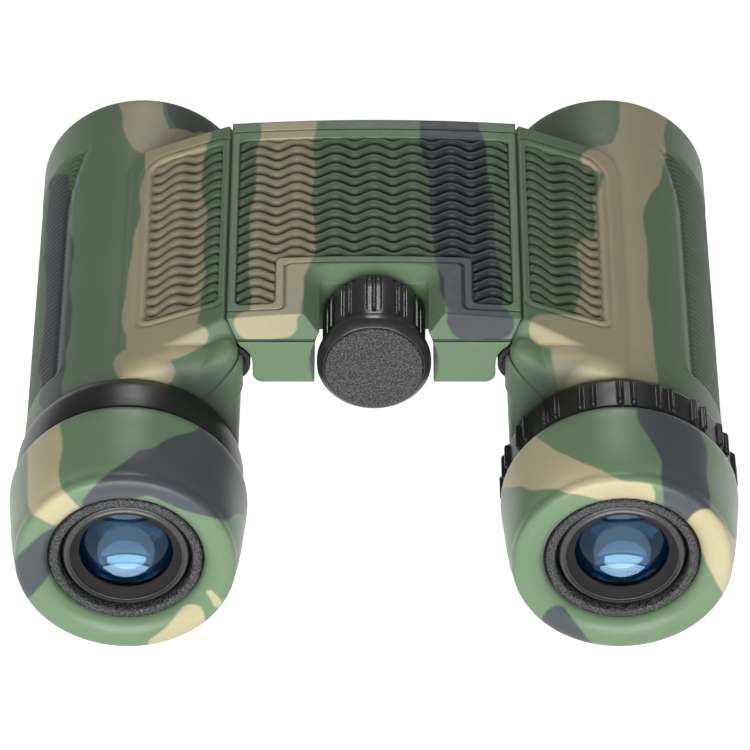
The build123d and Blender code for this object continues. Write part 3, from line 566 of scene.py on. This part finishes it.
def nose_painted_shade(place, shade):
    """Painted shade on the print: in the corner beside the eyepiece, and along the nose's parting groove.
    """
    station = station_of(place)
    height = height_of(place)
    middle = place.along((1, 0, 0)).absolute()
    # Painted shade in the corner beside the eyepiece.
    shade = station.step(23.6, 26.6).maximum(middle.step(27.0, 34.0)).mix(CORNER_PAINTED_SHADE, shade)
    # Painted shade along the parting groove over the nose.
    aside = (middle - barrel_x) * math.sin(parting_line) - height * math.cos(parting_line)
    elsewhere = station.step(28.1, 28.5).maximum(1 - height.step(6.0, 9.0))
    return aside.absolute().step(0.10, 0.30).maximum(elsewhere).mix(PARTING_PAINTED_SHADE, shade), None


def camouflage(blots, level=1.0, gloss=0.5, detail=None):
    """The printed rubber at a level of brightness; a detail may paint shade into it and give the normal
    under its grain.
    """

    def recipe(place):
        grain = place.noise(2.2, 3.0)
        fade = place.noise(0.09, 2.0)
        light = (grain - 0.5) * 0.10 + (fade - 0.5) * 0.16
        low = grey((1 - print_fade) * level)
        high = grey((1 + print_fade) * level)
        shade = blotted(place, blots).times(light.step(-0.16, 0.16).mix(low, high))
        under = None
        if detail is not None:
            shade, under = detail(place, shade)
        return {
            "Base Color": shade,
            "Roughness": (place.noise(0.7, 3.0) - 0.5) * 0.16 + gloss,
            "Specular IOR Level": 0.42,
            "Sheen Weight": 0.10,
            "Sheen Roughness": 0.5,
            "Normal": place.noise(3.5, 4.0).bump(0.22, 0.05, under),
        }

    return recipe


def skin(name, grids, material, body, closed=False, flip=False):
    """Smooth surface over grids of points; the rows of a grid are open, or closed rings."""
    points = []
    faces = []
    for grid in grids:
        grid = np.asarray(grid, dtype=float)
        rows, size = grid.shape[:2]
        start = len(points)
        points.extend((grid.reshape(-1, 3) * MM).tolist())
        for row in range(rows - 1):
            for column in range(size if closed else size - 1):
                a = start + row * size + column
                b = start + row * size + (column + 1) % size
                face = (a, b, b + size, a + size)
                faces.append(face[::-1] if flip else face)
    mesh = bpy.data.meshes.new(name)
    mesh.from_pydata(points, [], faces)
    mesh.materials.append(material)
    mesh.polygons.foreach_set("use_smooth", [True] * len(faces))
    piece = bpy.data.objects.new(name, mesh)
    bpy.context.collection.objects.link(piece)
    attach(piece, body)
    return piece


def beside(points, side):
    """Points in (outward, station, height) of a barrel's axis, set on the left or right barrel."""
    sign = 1 if side == "right" else -1
    placed = np.asarray(points, dtype=float) + np.array((barrel_x, eye_y, axis_z))
    placed[..., 0] *= sign
    return placed


barrel_blots = {
    "left": [
        (TAN, (-38.0, 74, 4.0), (-36.2, 66.4, 3.6)),
        (DARK_GREEN, (-28.4, 73, 5.2), (-28.2, 67.6, 3.4)),
        (TAN, (-27.6, 64.8, 1.7), (-33.6, 60.6, 2.6)),
        (TAN, (-31.4, 62, 4.8), (-31.6, 48, 5.6)),
        (TAN, (-31.6, 48, 5.6), (-32.4, 37, 6.0)),
        (TAN, (-36.0, 28.8, 2.6), (-32.6, 28.2, 2.5)),
        (TAN, (-33.6, 32.6, 3.4), (-26.4, 33.7, 1.9)),
        (CHARCOAL, (-50.3, 58, 1.9), (-49.2, 46, 2.3)),
        (CHARCOAL, (-49.2, 46, 2.3), (-48.6, 33, 2.2)),
        (CHARCOAL, (-48.6, 33, 2.2), (-49.2, 24, 1.9)),
    ],
    "right": [
        (TAN, (43.8, 74, 3.7), (42.0, 63, 4.4)),
        (TAN, (42.0, 63, 4.4), (38.6, 54, 4.1)),
        (TAN, (40.0, 61, 3.4), (34.4, 61.4, 1.9)),
        (TAN, (38.6, 54, 4.1), (38.0, 42, 4.0)),
        (TAN, (38.0, 42, 4.0), (38.6, 27, 4.3)),
        (TAN, (33.6, 47, 1.9), (33.2, 37, 2.3)),
        (TAN, (25.4, 34.2, 2.2), (32.6, 33.4, 3.2)),
        (TAN, (30.6, 31.0, 3.8), (31.8, 26.2, 4.2)),
        (CHARCOAL, (54.4, 52, 1.7), (54.4, 34, 1.7)),
    ],
}
armor_sections = armor_rows()
# Each barrel's print carries painted shade by the eyepiece and along the nose's parting groove.
for side, blots in barrel_blots.items():
    armor = skin(
        f"{side}_armor_skin",
        [beside(armor_sections, side)],
        finish(f"{side}_barrel_print_painted_shade", camouflage(blots, detail=nose_painted_shade)),
        f"{side}_barrel",
        closed=True,
        flip=side == "left",
    )
    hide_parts(f"{side}_barrel_armor")


# ---- Side grips ----
# A strip of fine slanted ribs along the outer side of each barrel.  It is of the same rubber as the
# armour, moulded with it and lying in a shallow bed below a rounded crest.
strip_pitch = 1.15
strip_slant = 0.25
strip_stretch = 1.03
strip_to = 112.5
strip_rear = 26.2
strip_front = 86.9
strip_r = 15.66
strip_rib = 0.44
# Painted shade: the ribs' print is drawn darker than the armour's, for the shade between them.
rib_painted_shade_level = 0.62
strip_station = np.linspace(strip_rear, strip_front, 380)[:, None]
strip_share = np.linspace(0, 1, 90)[None, :]
first_tilt = strip_edge(strip_station) + 3.2
tilt_grid = np.radians(first_tilt + (strip_to - first_tilt) * strip_share)
station_grid = strip_station + 0 * tilt_grid
strip_across = (station_grid - tilt_grid * barrel_r * strip_slant) / strip_stretch
ridge = (0.5 + 0.5 * np.cos(2 * math.pi * strip_across / strip_pitch)) ** 0.8
from_end = np.minimum(station_grid - strip_rear, strip_front - station_grid)
from_side = np.minimum(tilt_grid - tilt_grid[:, :1], tilt_grid[:, -1:] - tilt_grid) * barrel_r
inside = smooth(np.minimum(from_end, from_side), 0.2, 1.3)
strip_reach = strip_r + 0.12 * inside + strip_rib * ridge * inside
side_ribs = np.stack(
    (strip_reach * np.sin(tilt_grid), station_grid, strip_reach * np.cos(tilt_grid)), axis=2
)
rib_finish = {}
for side, blots in barrel_blots.items():
    rib_finish[side] = finish(f"{side}_rib_print_painted_shade", camouflage(blots, level=rib_painted_shade_level))
    strip = skin(
        f"{side}_side_ribs", [beside(side_ribs, side)], rib_finish[side], f"{side}_barrel",
        flip=side == "right",
    )
    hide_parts(f"{side}_side_grip")


# ---- Wing grips ----
# A panel of rounded, wavy rubber ribs across each wing.  The ribs and their thin pad are moulded in one, in
# the armour's print drawn darker as painted shade, and lie in the recess in the wing's plate.
rib_pitch = 2.4
rib_half = 0.74
rib_height = 0.83
wave_length = 6.0
wave_height = 0.75
rib_section = [(-1.0, 0.0), (-0.9, 0.5), (-0.6, 0.88), (0.0, 1.0), (0.6, 0.88), (0.9, 0.5), (1.0, 0.0)]
pad_depth = 0.88
pad_gap = 0.05
wing_rows = 37.0 + rib_pitch * np.arange(17)


def waved(row, along):
    """Middle line of one wavy rib, at distances along its row."""
    return row + wave_height * np.cos(2 * math.pi * along / wave_length)


def rib(across, middle, low, high, place):
    """Rows of points of one rib; its edges stop at the panel's rims and its ends run out low."""
    rear = np.clip(middle - rib_half, low, high)
    front = np.clip(middle + rib_half, low, high)
    half = (front - rear) / 2
    mid = (front + rear) / 2
    rise = rib_height * np.clip(half / rib_half, 0, 1) ** 0.5
    rise[[0, -1]] *= 0.55
    rows = [place(across, mid + half * side, rise * up) for side, up in rib_section]
    return np.swapaxes(np.array(rows), 0, 1)


def wing_place(down, station, height):
    rise = height - pad_depth
    u = barrel_r * math.sin(slope) - down * math.cos(slope)
    return np.column_stack((u + rise * math.sin(slope), station, on_plane(u) + rise * math.cos(slope)))


wing_across = np.linspace(panel["outer"] + pad_gap, panel["inner"] - pad_gap, 30)
wing_wave = barrel_r * math.sin(slope) - wing_across * math.cos(slope) + 12.4
wing_corner = np.clip(panel["outer"] + panel_round - wing_across, 0, panel_round)
wing_low = np.full(len(wing_across), panel["rear"])
wing_high = panel["front"] - (panel_round - np.sqrt(panel_round ** 2 - wing_corner ** 2))
wing_grids = []
for row in wing_rows:
    wing_grids.append(rib(wing_across, waved(row, wing_wave), wing_low, wing_high, wing_place))
wing_floor = []
for share in np.linspace(1, 0, 12):
    edge = wing_low + (wing_high - wing_low) * share
    wing_floor.append(wing_place(wing_across, edge, np.zeros(len(edge))))
wing_grids.append(wing_floor)
for side in ("left", "right"):
    grip = skin(
        f"{side}_wing_ribs", [beside(grid, side) for grid in wing_grids], rib_finish[side],
        f"{side}_barrel", flip=side == "right",
    )
    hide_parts(f"{side}_wing_grip")


# ---- Bridge ----
# The body between the hinges: a cover of the printed rubber over plastic, fixed on an alloy frame,
# with two lobes beside the knob.  The cover keeps its own solid, and its edges are softened as
# rubber's are.  A panel of the same wavy ribs is let into it, in front of the knob and beside it.
bridge_half = 21.0
bridge_rear = 34.0
slot_half = 14.9
slot_front = 45.4
crown_half = 22.4
crown_rise = 0.8
groove_height = 20.1
groove_end = 30.5
# Colour of the painted shade in the lobes' groove.
groove_painted_shade = (0.03, 0.045, 0.03, 1)
bridge_rows = 34.8 + rib_pitch * np.arange(18)
bridge_blots = [
    (TAN, (-13.4, 73, 4.1), (-14.4, 46, 5.1)),
    (TAN, (-14.8, 45, 4.4), (-14.6, 38, 3.9)),
    (TAN, (-18.4, 35.0, 2.2), (-13.6, 35.2, 2.3)),
    (CHARCOAL, (11.2, 73, 4.7), (13.6, 52, 5.0)),
    (CHARCOAL, (13.6, 52, 5.0), (15.0, 39.5, 4.3)),
    (CHARCOAL, (14.4, 35.8, 3.4), (18.0, 35.3, 2.9)),
]


def assign(material, node):
    """Finish of a part that keeps the shape of its solid."""
    mesh = frame["nodes"][node].data
    mesh.materials.clear()
    mesh.materials.append(material)


def cover_detail(place, shade):
    """A fine groove moulded across the rear of the lobes with painted shade in it, and the cover's softened
    edges.
    """
    beside_it = (height_of(place) - groove_height).absolute().step(0.04, 0.24)
    groove = beside_it.maximum((station_of(place) - groove_end).step(-0.5, 0.0))
    rounded = place.node("Bevel", {"samples": 6}, {"Radius": 0.45 * MM})
    # Painted shade: the groove's colour.
    return groove.mix(groove_painted_shade, shade), groove.bump(0.8, 0.3, rounded)


def bridge_place(across, station, height):
    crown = wing_top + crown_rise * (1 - (across / crown_half) ** 2)
    return np.column_stack((across, station + eye_y, crown + height - pad_depth + axis_z))


def bridge_rib(row, across, rear):
    """One wavy rib from side to side, cut off at the panel's rear edge or the knob's slot."""
    low = np.broadcast_to(rear, across.shape)
    high = np.full(len(across), panel["front"])
    return rib(across, waved(row, across), low, high, bridge_place)


# Painted light: the cover's print is drawn a tenth lighter than the armour's; its groove gets painted
# shade.
cover_finish = finish("bridge_print_painted_light_and_shade", camouflage(bridge_blots, level=1.1, detail=cover_detail))
assign(cover_finish, "bridge_shell")
bridge_grids = []
for row in bridge_rows:
    beside_slot = row < slot_front + 0.3
    if beside_slot:
        for start, end in ((-bridge_half, -slot_half), (slot_half, bridge_half)):
            across = np.linspace(start + pad_gap, end - pad_gap, 14)
            bridge_grids.append(bridge_rib(row, across, bridge_rear))
        if row + wave_height + rib_half > slot_front:
            bridge_grids.append(bridge_rib(row, np.linspace(-slot_half, slot_half, 70), slot_front))
    else:
        across = np.linspace(-bridge_half + pad_gap, bridge_half - pad_gap, 100)
        rear = np.where(np.abs(across) < slot_half, slot_front, bridge_rear)
        bridge_grids.append(bridge_rib(row, across, rear))
for x0, x1, rear, front in (
    (-bridge_half, bridge_half, slot_front, panel["front"]),
    (-bridge_half, -slot_half, bridge_rear, slot_front),
    (slot_half, bridge_half, bridge_rear, slot_front),
):
    across = np.linspace(x0, x1, 16)
    bridge_grids.append([bridge_place(across, np.full(16, y), np.zeros(16)) for y in (front, rear)])
# Painted shade: these ribs' print is drawn darker than the cover's, for the shade between them.
bridge_rib_finish = finish("bridge_rib_print_painted_shade", camouflage(bridge_blots, level=0.60))
bridge_grip = skin(
    "bridge_ribs", bridge_grids, bridge_rib_finish, "bridge", flip=True
)
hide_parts("bridge_grip")


# ---- Eyecups ----
# Soft rubber cups in the same print, moulded round a plastic sleeve that twists up.  Each has a
# slightly conical skirt, a shallow crease and a rolled rim that is dished towards the eye ring.
barrel_axis = {"left": (-barrel_x, axis_z), "right": (barrel_x, axis_z)}


def lathe(name, profile, axis, material, body, segments=128, ripple=None):
    """Solid of revolution from (radius, station) points, turned about an axis along the barrels."""
    x, z = axis
    angles = np.linspace(0, 2 * math.pi, segments, endpoint=False)
    rings = []
    for radius, station in profile:
        reach = np.full(segments, radius)
        if ripple is not None:
            reach = reach + ripple(angles, radius, station)
        stations = np.full(segments, station + eye_y)
        rings.append(np.column_stack((x + reach * np.sin(angles), stations, z + reach * np.cos(angles))))
    return skin(name, [rings], material, body, closed=True, flip=True)


cup_profile = [
    (15.4, 15.9), (17.3, 15.95), (17.7, 15.8), (17.9, 15.4), (17.93, 14.6), (17.87, 13.4), (17.75, 12.2),
    (17.6, 10.3), (17.45, 8.3), (17.28, 6.4), (17.1, 4.8), (16.94, 3.6), (16.76, 2.8), (16.6, 2.25),
    (16.54, 1.85), (16.55, 1.45), (16.5, 1.0), (16.3, 0.55), (15.95, 0.24), (15.4, 0.06), (14.8, 0.0),
    (14.1, 0.06), (13.4, 0.24), (12.8, 0.56), (12.3, 0.98), (11.95, 1.42), (11.8, 1.8), (11.75, 2.4),
]
cup_blots = {
    "left": [
        (TAN, (-49.4, 20.5, 2.7), (-49.0, 10.6, 2.8)),
        (TAN, (-48.8, 9.6, 2.9), (-45.6, 7.0, 2.1)),
        (CHARCOAL, (-22.6, 13.4, 7.4), (-33.0, 13.2, 3.5)),
        (CHARCOAL, (-33.0, 13.2, 3.5), (-42.4, 8.8, 0.9)),
        (CHARCOAL, (-53.4, -3.4, 2.8), (-47.4, 2.4, 2.6)),
        (TAN, (-24.9, -5.2, 0.5), (-23.7, -6.7, 0.7)),
        (TAN, (-27.6, -9.4, 2.3), (-32.4, -12.6, 1.3)),
    ],
    "right": [
        (TAN, (19.6, 15.2, 4.4), (29.0, 12.4, 2.6)),
        (TAN, (29.0, 12.4, 2.6), (40.2, 9.9, 1.3)),
        (CHARCOAL, (42.6, 22.5, 3.6), (46.4, 15.5, 3.4)),
        (CHARCOAL, (46.4, 15.5, 3.4), (46.0, 9.4, 3.5)),
        (TAN, (48.2, 6.0, 1.9), (52.2, 1.0, 2.9)),
        (TAN, (52.2, 1.0, 2.9), (53.4, -4.0, 1.8)),
        (CHARCOAL, (27.4, -9.4, 2.0), (31.0, -13.8, 1.7)),
    ],
}
for side, blots in cup_blots.items():
    # Painted light: the cups' print is drawn lighter all over than the armour's, for the sheen on their
    # tops.
    cup_finish = finish(f"{side}_eyecup_print_painted_light", camouflage(blots, level=1.3, gloss=0.36))
    cup = lathe(
        f"{side}_cup", cup_profile, barrel_axis[side], cup_finish, f"{side}_eyecup_turn",
    )
    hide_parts(f"{side}_eyecup")


# ---- Collar and plain black parts ----
# The left eyepiece ends in a plain collar, moulded in satin, finely grained black plastic and pushed
# over its tube.  The bottom cover with its screws, the cells in the objectives' mouths and the hinges'
# blackened tubes keep their solids and have the same finish, and the housings have a flatter one.
def black_plastic(
    level, roughness, grain_scale=3.0, grain_depth=0.02, pebbled=False, shine=0.5
):
    def recipe(place):
        grain = place.noise(grain_scale, 3.0)
        if pebbled:
            grain = grain.step(0.40, 0.62)
        worn = (place.noise(0.5, 4.0) - 0.5) * 0.14
        spread = 3.4 if pebbled else 1.3
        low = level / spread
        high = level * spread
        return {
            "Base Color": grain.mix((low, low, low * 1.03, 1), (high, high, high * 1.06, 1)),
            "Roughness": worn + roughness,
            "Specular IOR Level": shine,
            "Normal": grain.bump(0.6 if pebbled else 0.35, grain_depth),
        }

    return recipe


satin_black = finish("satin_black", black_plastic(0.014, roughness=0.34, shine=0.36))
flat_black = finish("flat_black", black_plastic(0.012, roughness=0.7, grain_scale=2.0, grain_depth=0.03))
material_slots = {entry["node"]: entry["material_slot"] for entry in frame["record"]["subparts"]}
for node, slot in material_slots.items():
    if slot in ("black_plastic", "blackened_steel"):
        assign(satin_black, node)
    if slot == "housing_plastic":
        assign(flat_black, node)

collar_profile = [
    (13.2, 16.3), (16.6, 16.32), (16.95, 16.4), (17.15, 16.65), (17.2, 17.0), (17.2, 21.6), (17.12, 22.3),
    (16.95, 23.0), (16.7, 23.6), (16.45, 24.05), (16.0, 24.15),
]
collar = lathe(
    "left_collar", collar_profile, barrel_axis["left"], satin_black, "left_barrel"
)
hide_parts("left_eyepiece_collar")


# ---- Dioptre ring ----
# A black plastic ring that turns on the right eyepiece's tube to set that eye's focus.  It is moulded
# with fine ribs in pairs round its side, which stop short of its rear edge.
pair_count = 18
pair_spread = 1.0
pair_turn = math.radians(2.6)
ring_rib = 0.46
ring_height = 0.7
ring_side = 17.15


def paired_ribs(angles, radius, station):
    if radius < ring_side:
        return 0.0 * angles
    turn = 2 * math.pi / pair_count
    arc = (((angles - pair_turn + turn / 2) % turn) - turn / 2) * radius
    width = np.abs(np.abs(arc) - pair_spread)
    ends = smooth(station, 16.9, 17.5) * smooth(-station, -22.9, -22.0)
    return ring_height * (1 - smooth(width, ring_rib * 0.35, ring_rib)) * ends


ring_stations = [16.75, 16.9, 17.05, 17.2, 17.35, 17.5, 17.8, 19.0, 20.5, 21.6, 22.0, 22.2, 22.4]
diopter_profile = [(13.2, 16.3), (16.8, 16.32), (ring_side, 16.5)]
diopter_profile += [(17.3, station) for station in ring_stations]
diopter_profile += [(17.2, 22.8), (16.9, 23.3), (16.5, 23.8), (16.2, 23.88), (13.2, 23.9)]
diopter = lathe(
    "diopter_grip", diopter_profile, barrel_axis["right"], satin_black, "diopter",
    segments=720, ripple=paired_ribs,
)
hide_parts("diopter_ring")


# ---- Eye rings and bezels ----
# Each cup is moulded round a pebbled black plastic sleeve, whose rear face is the ring round the eye.
# Inside it, across a dark gap, a smooth bezel screws into the eyepiece and holds the eye lens, and
# its dark throat steps down to the glass.
sleeve_profile = [
    (15.28, 15.6), (15.28, 2.8), (11.7, 2.7), (11.5, 2.5), (11.45, 1.9), (11.38, 1.6), (11.2, 1.46),
    (10.8, 1.42), (10.3, 1.46), (10.1, 1.6), (10.0, 1.85), (9.9, 2.6), (9.9, 4.3), (13.9, 4.4), (14.0, 4.6),
    (14.0, 15.6), (15.28, 15.6),
]
bezel_profile = [
    (8.9, 3.9), (9.0, 5.9), (10.35, 5.95), (10.38, 4.8), (9.5, 4.7), (9.4, 4.4), (9.4, 2.6), (9.3, 2.42),
    (9.1, 2.36), (8.62, 2.36), (8.56, 2.26), (8.46, 2.22), (8.38, 2.3), (8.36, 2.42), (8.6, 2.8),
    (8.8, 3.82), (8.9, 3.9),
]
throat_profile = [
    (8.36, 2.44), (8.1, 2.7), (7.25, 3.35), (7.04, 3.5), (7.0, 3.6), (7.05, 3.78), (8.5, 3.8),
    (8.5, 2.8), (8.36, 2.44),
]
pebbled_black = finish(
    "pebbled_black",
    black_plastic(0.026, roughness=0.40, grain_scale=3.2, grain_depth=0.16, pebbled=True),
)
bezel_black = finish("bezel_black", black_plastic(0.034, roughness=0.26, grain_depth=0.03, shine=0.6))
throat_black = finish("throat_black", black_plastic(0.004, roughness=0.8, grain_scale=2.0))
for side, axis in barrel_axis.items():
    sleeve = lathe(
        f"{side}_eye_ring", sleeve_profile, axis, pebbled_black, f"{side}_eyecup_turn"
    )
    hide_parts(f"{side}_eyecup_sleeve")
    bezel = lathe(f"{side}_bezel", bezel_profile, axis, bezel_black, f"{side}_barrel")
    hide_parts(f"{side}_eyepiece_bezel")
    lathe(
        f"{side}_bezel_throat", throat_profile, axis, throat_black, f"{side}_barrel"
    )


# ---- Lenses ----
# Ground and polished glass with a blue coating.  The eye lens is a thin clear front held by the
# bezel, over a clear inner face and a deep, dark bowl whose coating mirrors the lights.  The other
# lenses and the prisms sit in their cells and cages and keep their solids.
def clear_glass(index):
    def recipe(place):
        rim = place.node("Fresnel", {}, {"IOR": index})
        clear = place.node("BsdfTransparent", {}, {"Color": (0.84, 0.93, 1.0, 1)})
        shine = place.node("BsdfGlossy", {}, {"Color": (0.62, 0.84, 1.0, 1), "Roughness": 0.03})
        return place.node("MixShader", {}, {0: rim, 1: clear, 2: shine})

    return recipe


def blue_coating(place):
    deep = station_of(place).step(4.0, 9.0)
    return {
        "Base Color": deep.mix((0.010, 0.040, 0.070, 1), (0.006, 0.026, 0.050, 1)),
        "Roughness": 0.03,
        "IOR": 2.2,
        "Specular Tint": (0.62, 0.86, 1.0, 1),
    }


glass_finish = finish("coated_glass", clear_glass(1.4))
for node, slot in material_slots.items():
    if slot in ("coated_glass", "prism_glass"):
        assign(glass_finish, node)

window_r = 7.2
front_rim = 4.7
front_sag = 1.8
inner_curve = (4.72, 12.6)
bowl_curve = (4.75, 10.0)


def hollow(rim, radius):
    """Profile of a hollow sphere of a given radius, from the station of its rim to its middle."""
    edge = math.sqrt(radius ** 2 - window_r ** 2)
    return [(r, rim + math.sqrt(radius ** 2 - r ** 2) - edge) for r in np.linspace(window_r, 0.01, 16)]


dome_radii = np.linspace(window_r, 0.01, 12)
dome_profile = [(r, front_rim - front_sag * (1 - (r / window_r) ** 2)) for r in dome_radii]
inner_finish = finish("inner_glass", clear_glass(1.9))
bowl_finish = finish("blue_coating", blue_coating)
for side, body in (("left", "left_barrel"), ("right", "right_ocular")):
    eye_glass = lathe(
        f"{side}_eye_glass", dome_profile, barrel_axis[side], glass_finish, body,
        segments=96,
    )
    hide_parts(f"{side}_eye_lens")
    lathe(
        f"{side}_eye_inner_glass", hollow(*inner_curve), barrel_axis[side], inner_finish, body,
        segments=96,
    )
    lathe(
        f"{side}_eye_bowl", hollow(*bowl_curve), barrel_axis[side], bowl_finish, body,
        segments=96,
    )


# ---- Focusing knob ----
# A black plastic knob with a rounded rim and long pockets round it, each with a thin rib down its
# middle, fixed on the focusing spindle.  Its pebbled face is a separate disc let into its rear end.
knob_axis = (0.0, axis_z + pocket_w)
flute_count = 12
flute_half = 1.25
flute_depth = 0.5
flute_rear = 32.4
grip_r = 7.7


def flutes(angles, radius, station):
    if radius < grip_r or station < 31.0:
        return 0.0 * angles
    turn = 2 * math.pi / flute_count
    arc = (((angles + turn / 2) % turn) - turn / 2) * radius
    end = np.hypot(arc, np.minimum(station - flute_rear, 0))
    pocket = 1 - smooth(end, flute_half - 0.2, flute_half)
    middle = (1 - smooth(np.abs(arc), 0.12, 0.34)) * smooth(station, flute_rear - 0.6, flute_rear)
    return flute_depth * (0.75 * middle * pocket - pocket)


knob_profile = [
    (7.1, 27.7), (7.55, 27.35), (7.66, 27.32), (7.78, 27.4), (8.5, 28.1), (8.62, 28.3), (8.64, 28.5),
    (8.64, 29.4), (8.55, 29.75), (8.25, 30.0), (7.95, 30.15),
]
knob_profile += [(7.9, station) for station in np.linspace(30.6, 33.0, 13)]
knob_profile += [(7.9, 35.0), (7.9, 37.5), (7.9, 39.6), (7.75, 40.0), (7.5, 40.2), (1.9, 40.3)]
face_profile = [
    (7.48, 27.75), (7.48, 27.35), (7.4, 27.12), (7.2, 27.02), (6.9, 27.0), (4.0, 27.0), (0.01, 27.0),
]
knob_black = finish("knob_black", black_plastic(0.022, roughness=0.26))
knob = lathe(
    "knob", knob_profile, knob_axis, knob_black, "focusing_drive",
    segments=480, ripple=flutes,
)
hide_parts("focus_knob")
face = lathe("knob_face", face_profile, knob_axis, pebbled_black, "focusing_drive")
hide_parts("focus_knob_cap")


# ---- Metal parts ----
# The bridge's frame, the focusing carriage and the lens cells are machined from alloy, the spindle
# and the rods are ground steel, and the spindle's bush is sintered bronze.  They are screwed or
# pressed together, mostly out of sight, and keep their solids.
def metal(colour, roughness):
    def recipe(place):
        brushed = place.vector("MULTIPLY", (1.0, 0.15, 1.0)).noise(2.5, 3.0)
        darker = tuple(channel * 0.85 for channel in colour)
        return {
            "Base Color": brushed.mix(darker + (1,), colour + (1,)),
            "Metallic": 1.0,
            "Roughness": (brushed - 0.5) * 0.2 + roughness,
        }

    return recipe


metals = {
    "steel": finish("ground_steel", metal((0.55, 0.55, 0.57), roughness=0.3)),
    "alloy": finish("machined_alloy", metal((0.42, 0.42, 0.44), roughness=0.38)),
    "bronze": finish("sintered_bronze", metal((0.5, 0.33, 0.16), roughness=0.45)),
}
for node, slot in material_slots.items():
    if slot in metals:
        assign(metals[slot], node)
